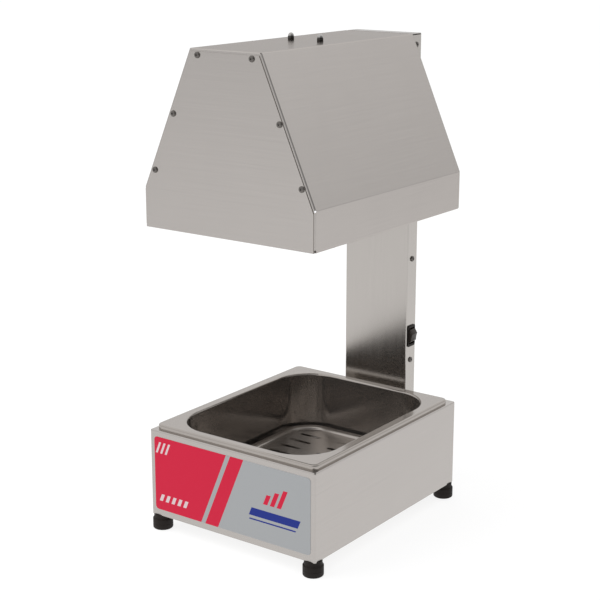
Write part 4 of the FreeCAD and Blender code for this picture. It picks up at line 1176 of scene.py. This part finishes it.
@dataclass(frozen=True)
class RockerSwitch:
    """Rocker switch: bezel with its housing, and a tilted rocker; sizes in millimetres."""

    bezel_t: float = 2.0
    bezel_r: float = 3.0
    bezel_edge: float = 0.7
    bezel_steps: int = 4
    housing: Pair = (16.4, 27.0)
    housing_depth: float = 22.0
    window: Pair = (14.6, 23.7)
    window_r: float = 0.4
    window_depth: float = 8.0
    rocker_w: float = 14.0
    pivot_depth: float = 2.0
    rest_turn: float = 10.0
    rocker_side: tuple[Pair, ...] = (
        (3.6, 11.0), (8.4, 5.4), (7.7, 0.0), (8.4, -5.4), (3.6, -11.0),
        (-1.5, -10.2), (-3.0, -4.0), (-3.0, 4.0), (-1.5, 10.2))
    valley_width: float = 3.6
    valley_steps: int = 10
    edge_r: float = 0.45
    mark_size: float = 3.2
    mark_up: float = 2.9
    mark_line: float = 0.55
    mark_rise: float = 0.12
    mark_corner_r: float = 0.2
    mark_corner_steps: int = 3
    ring_steps: int = 24

    Z_TO_X = Matrix(((0, 0, 1), (1, 0, 0), (0, 1, 0))).to_4x4()

    def build(self) -> None:
        """Builds the bezel and the rocker, and dresses the terminals."""
        low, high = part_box("switch_body")
        centre = middle((low, high))
        wall = Vector((high.x - self.bezel_t * MM, centre.y, centre.z))
        place = Matrix.Translation(wall) @ self.Z_TO_X
        shape = self.bezel_shape(high.y - low.y, high.z - low.z)
        bmesh.ops.transform(shape, matrix=place, verts=shape.verts)
        Piece("switch_bezel", "frame", "switch_plastic", ("switch_body",)).publish(shape, [Finishes.BEZEL])
        rocker = self.rocker_shape()
        pivot = wall - X_AXIS * self.pivot_depth * MM
        turned = Matrix.Rotation(math.radians(self.rest_turn), 4, "Y")
        bmesh.ops.transform(rocker, matrix=Matrix.Translation(pivot) @ turned, verts=rocker.verts)
        Piece("switch_rocker_cap", "rocker", "switch_plastic", ("switch_rocker",)).publish(
            rocker, [Finishes.ROCKER])
        dress("switch_terminals", Finishes.BRASS)

    def bezel_shape(self, width: float, length: float) -> Shape:
        """Bezel and housing around an open window.

        Args:
            width: The bezel's width in metres.
            length: The bezel's length in metres.

        Returns:
            The shape; local Z points out of the wall.
        """
        bezel = bmesh.new()
        top = self.bezel_t * MM
        self.frame_walls(bezel, (width, length), top, 0.0)

        def front_edge(edge: bmesh.types.BMEdge) -> bool:
            """Whether an edge runs round the bezel's front."""
            return crease(edge) and all(abs(v.co.z - top) < TOUCH for v in edge.verts)

        round_edges(bezel, front_edge, self.bezel_edge * MM, self.bezel_steps)
        housing = bmesh.new()
        self.frame_walls(housing, tuple(side * MM for side in self.housing), 0.0, -self.window_depth * MM)
        rear = bmesh.new()
        block = rounded_face(rear, self.housing[0] * MM, self.housing[1] * MM, self.bezel_r * MM)
        bmesh.ops.translate(rear, verts=rear.verts, vec=(0, 0, -self.housing_depth * MM))
        raise_faces(rear, [block], Vector((0, 0, (self.housing_depth - self.window_depth) * MM)))
        return join([bezel, housing, rear])

    def frame_walls(self, shape: Shape, outside: Pair, top: float, bottom: float) -> None:
        """Rectangular tube between two heights, with round corners and a square window.

        Args:
            shape: Receives the tube.
            outside: Width and length in metres.
            top: Upper height in metres.
            bottom: Lower height in metres.
        """
        rim = rounded_face(shape, *outside, self.bezel_r * MM, self.bezel_steps)
        around = list(rim.edges)
        window_w, window_l = self.window
        window = rounded_face(shape, window_w * MM, window_l * MM, self.window_r * MM, self.bezel_steps)
        edges = around + list(window.edges)
        bmesh.ops.delete(shape, geom=[rim, window], context="FACES_ONLY")
        faces = bmesh.ops.bridge_loops(shape, edges=edges)["faces"]
        bmesh.ops.translate(shape, verts=shape.verts, vec=(0, 0, bottom))
        raise_faces(shape, faces, Vector((0, 0, top - bottom)))

    def rocker_shape(self) -> Shape:
        """Rocker about its pin, untilted.

        Returns:
            The shape; X points out of the wall, the pin lies along Y.
        """
        shape = bmesh.new()
        width = self.rocker_w * MM
        side = [shape.verts.new((out * MM, -width / 2, up * MM)) for out, up in self.rocker_side]
        raise_faces(shape, [shape.faces.new(side)], Vector((0, width, 0)))
        valley = self.rocker_side[2][0] * MM

        def valley_edge(edge: bmesh.types.BMEdge) -> bool:
            """Whether an edge is the bottom of the valley."""
            return all(abs(v.co.x - valley) < TOUCH and abs(v.co.z) < TOUCH for v in edge.verts)

        round_edges(shape, valley_edge, self.valley_width * MM, self.valley_steps)
        round_edges(shape, crease, self.edge_r * MM)
        return join([shape, self.bar_mark(), self.ring_mark()])

    def mark_place(self, up: float) -> Matrix:
        """Place of a moulded mark on the rocker's face.

        Args:
            up: The mark's height above the pin, in millimetres.

        Returns:
            The placement, with local Z pointing out of the face.
        """
        (ridge, peak), (valley, _) = self.rocker_side[1:3]
        out = valley + (ridge - valley) * abs(up) / peak
        tilt = Matrix.Rotation(math.copysign(math.atan2(ridge - valley, peak), up), 4, "Y")
        return Matrix.Translation((out * MM, 0, up * MM)) @ tilt @ self.Z_TO_X

    def bar_mark(self) -> Shape:
        """Raised bar for the on side.

        Returns:
            The shape, in place on the untilted rocker.
        """
        shape = bmesh.new()
        bar = rounded_face(shape, self.mark_line * MM, self.mark_size * MM, self.mark_corner_r * MM,
                           self.mark_corner_steps)
        raise_faces(shape, [bar], Z_AXIS * self.mark_rise * MM)
        bmesh.ops.transform(shape, matrix=self.mark_place(self.mark_up), verts=shape.verts)
        return shape

    def ring_mark(self) -> Shape:
        """Raised ring for the off side.

        Returns:
            The shape, in place on the untilted rocker.
        """
        shape = bmesh.new()
        outer, rise = self.mark_size / 2, self.mark_rise
        inner = outer - self.mark_line
        outline = [(inner, 0), (outer, 0), (outer, rise), (inner, rise)]
        spin_profile(shape, outline, self.ring_steps, closed=True)
        bmesh.ops.transform(shape, matrix=self.mark_place(-self.mark_up), verts=shape.verts)
        return shape


@dataclass(frozen=True)
class AcornNut:
    """Acorn nut: rounded hexagon, neck and dome; sizes in millimetres."""

    across_flats: float = 8.0
    hexagon_h: float = 5.0
    height: float = 9.5
    edge_r: float = 0.35
    edge_steps: int = 2
    dome_inset: float = 0.15
    neck_inset: float = 0.25
    neck_h: float = 0.3
    neck_sunk: float = 1.0
    dome_steps: int = 8
    steps: int = 32

    # Material number of the hexagon's faces, which carry the darker painted-shade copy of the chrome.
    HEXAGON_PAINTED_SHADE = 1

    def build(self) -> Shape:
        """Builds the nut.

        Returns:
            The shape, standing on local XY.
        """
        nut = bmesh.new()
        hex_prism(nut, self.across_flats * MM, self.hexagon_h * MM)
        round_edges(nut, crease, self.edge_r * MM, self.edge_steps)
        for face in nut.faces:
            face.material_index = self.HEXAGON_PAINTED_SHADE
        dome_r, top = self.across_flats / 2 - self.dome_inset, self.hexagon_h
        neck_r = dome_r - self.neck_inset
        rise = self.height - top - self.neck_h
        outline = [(0, top - self.neck_sunk), (neck_r, top - self.neck_sunk), (neck_r, top)]
        for turn in quarter_turn(self.dome_steps):
            outline.append((dome_r * math.cos(turn), top + self.neck_h + rise * math.sin(turn)))
        dome = bmesh.new()
        spin_profile(dome, outline, self.steps)
        return join([nut, dome])


@dataclass(frozen=True)
class Hood:
    """Folded hood with its end panels, screws and acorn nuts; sizes in millimetres."""

    shank_d: float = 3.9
    shank_l: float = 8.0

    def build(self) -> None:
        """Dresses the sheets and builds the screws and nuts."""
        dress("hood_shell", Finishes.HOOD)
        dress("hood_front_panel", Finishes.HOOD_END)
        dress("hood_rear_panel", Finishes.HOOD_END)
        self.build_screws("hood_front_screws", -1)
        self.build_screws("hood_rear_screws", 1)
        self.build_acorns()

    def build_screws(self, node: str, side: int) -> None:
        """Builds the screws of one end panel.

        Args:
            node: The screws' node.
            side: 1 where the heads point to the rear, -1 to the front.
        """
        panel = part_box("hood_rear_panel")[1].y if side > 0 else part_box("hood_front_panel")[0].y
        shapes = []
        for low, high in separate_solids(node):
            tip = high.y if side > 0 else low.y
            head_d, head_h = (high.x - low.x) / MM, abs(tip - panel) / MM
            at = middle((low, high))
            at.y = panel
            shapes.append(SocketScrew(head_d, head_h, self.shank_d, self.shank_l).build(at, Y_AXIS * side))
        Piece(f"{node}_socketed", "frame", "dark_screws", (node,)).publish(join(shapes), [Finishes.SCREW])

    def build_acorns(self) -> None:
        """Builds the acorn nuts on the hood's top."""
        shapes = []
        for low, high in separate_solids("acorn_nuts"):
            at = middle((low, high))
            at.z = low.z
            shape = AcornNut().build()
            bmesh.ops.translate(shape, verts=shape.verts, vec=at)
            shapes.append(shape)
        Piece("acorn_nuts_polished", "frame", "chrome_nuts", ("acorn_nuts",)).publish(
            join(shapes), [Finishes.CHROME, Finishes.HEXAGON_PAINTED_SHADE])


@dataclass(frozen=True)
class Heater:
    """Reflector, heating element and what hangs them under the hood; sizes in millimetres."""

    bead_bore_r: float = 1.55
    bead_neck: float = 1.6
    bead_ribs: tuple[Pair, ...] = (
        (0.5, 0.0), (0.5, 1.2), (0.0, 2.0), (0.0, 3.0), (0.9, 3.6), (0.0, 4.2), (0.0, 5.2), (0.9, 6.0))
    bead_steps: int = 32

    def build(self) -> None:
        """Dresses the heater's nodes and builds its insulators."""
        dress("reflector", Finishes.REFLECTOR)
        dress("heating_element", Finishes.SHEATH)
        for node in ("reflector_studs", "spacer_tubes", "stud_nuts", "element_brackets", "bracket_screws",
                     "bracket_nuts", "bushing_nuts"):
            dress(node, Finishes.ZINC)
        for node in ("element_bushings", "element_pins"):
            dress(node, Finishes.BRASS)
        self.build_insulators()

    def build_insulators(self) -> None:
        """Builds the ribbed ceramic beads; each rib corner is a step in from the edge and a height."""
        shapes = []
        for low, high in separate_solids("element_insulators"):
            radius, height = (high.x - low.x) / 2 / MM, (high.z - low.z) / MM
            outline = [(self.bead_bore_r, 0), *((radius - inward, up) for inward, up in self.bead_ribs),
                       (radius - self.bead_neck, height), (self.bead_bore_r, height)]
            shape = bmesh.new()
            spin_profile(shape, outline, self.bead_steps, closed=True)
            at = middle((low, high))
            bmesh.ops.translate(shape, verts=shape.verts, vec=(at.x, at.y, low.z))
            shapes.append(shape)
        Piece("ribbed_insulators", "frame", "ceramic", ("element_insulators",)).publish(
            join(shapes), [Finishes.CERAMIC])


class Wiring:
    """Terminal block, earth stud, grommet and wires inside the column."""

    def build(self) -> None:
        """Dresses the wiring's nodes."""
        dress("terminal_block", Finishes.BLOCK)
        dress("wire_grommet", Finishes.RUBBER)
        for node in ("terminal_screws", "earth_stud", "earth_nut"):
            dress(node, Finishes.BRASS)
        for node in ("wire_supply_live", "wire_switched_live"):
            dress(node, Finishes.WIRE_BROWN)
        dress("wire_neutral", Finishes.WIRE_BLUE)
        dress("wire_earth", Finishes.WIRE_GREEN)


def main() -> None:
    """Builds the studio and each sub-assembly in order."""
    logging.basicConfig(level=logging.INFO, format="%(message)s")
    PhotoStudio().set_up()
    for assembly in (Feet(), Casing(), PanSet(), Column(), RockerSwitch(), Hood(), Heater(), Wiring()):
        LOG.info("assembly %s", type(assembly).__name__)
        assembly.build()
    bpy.context.view_layer.update()


if __name__ == "__main__":
    main()
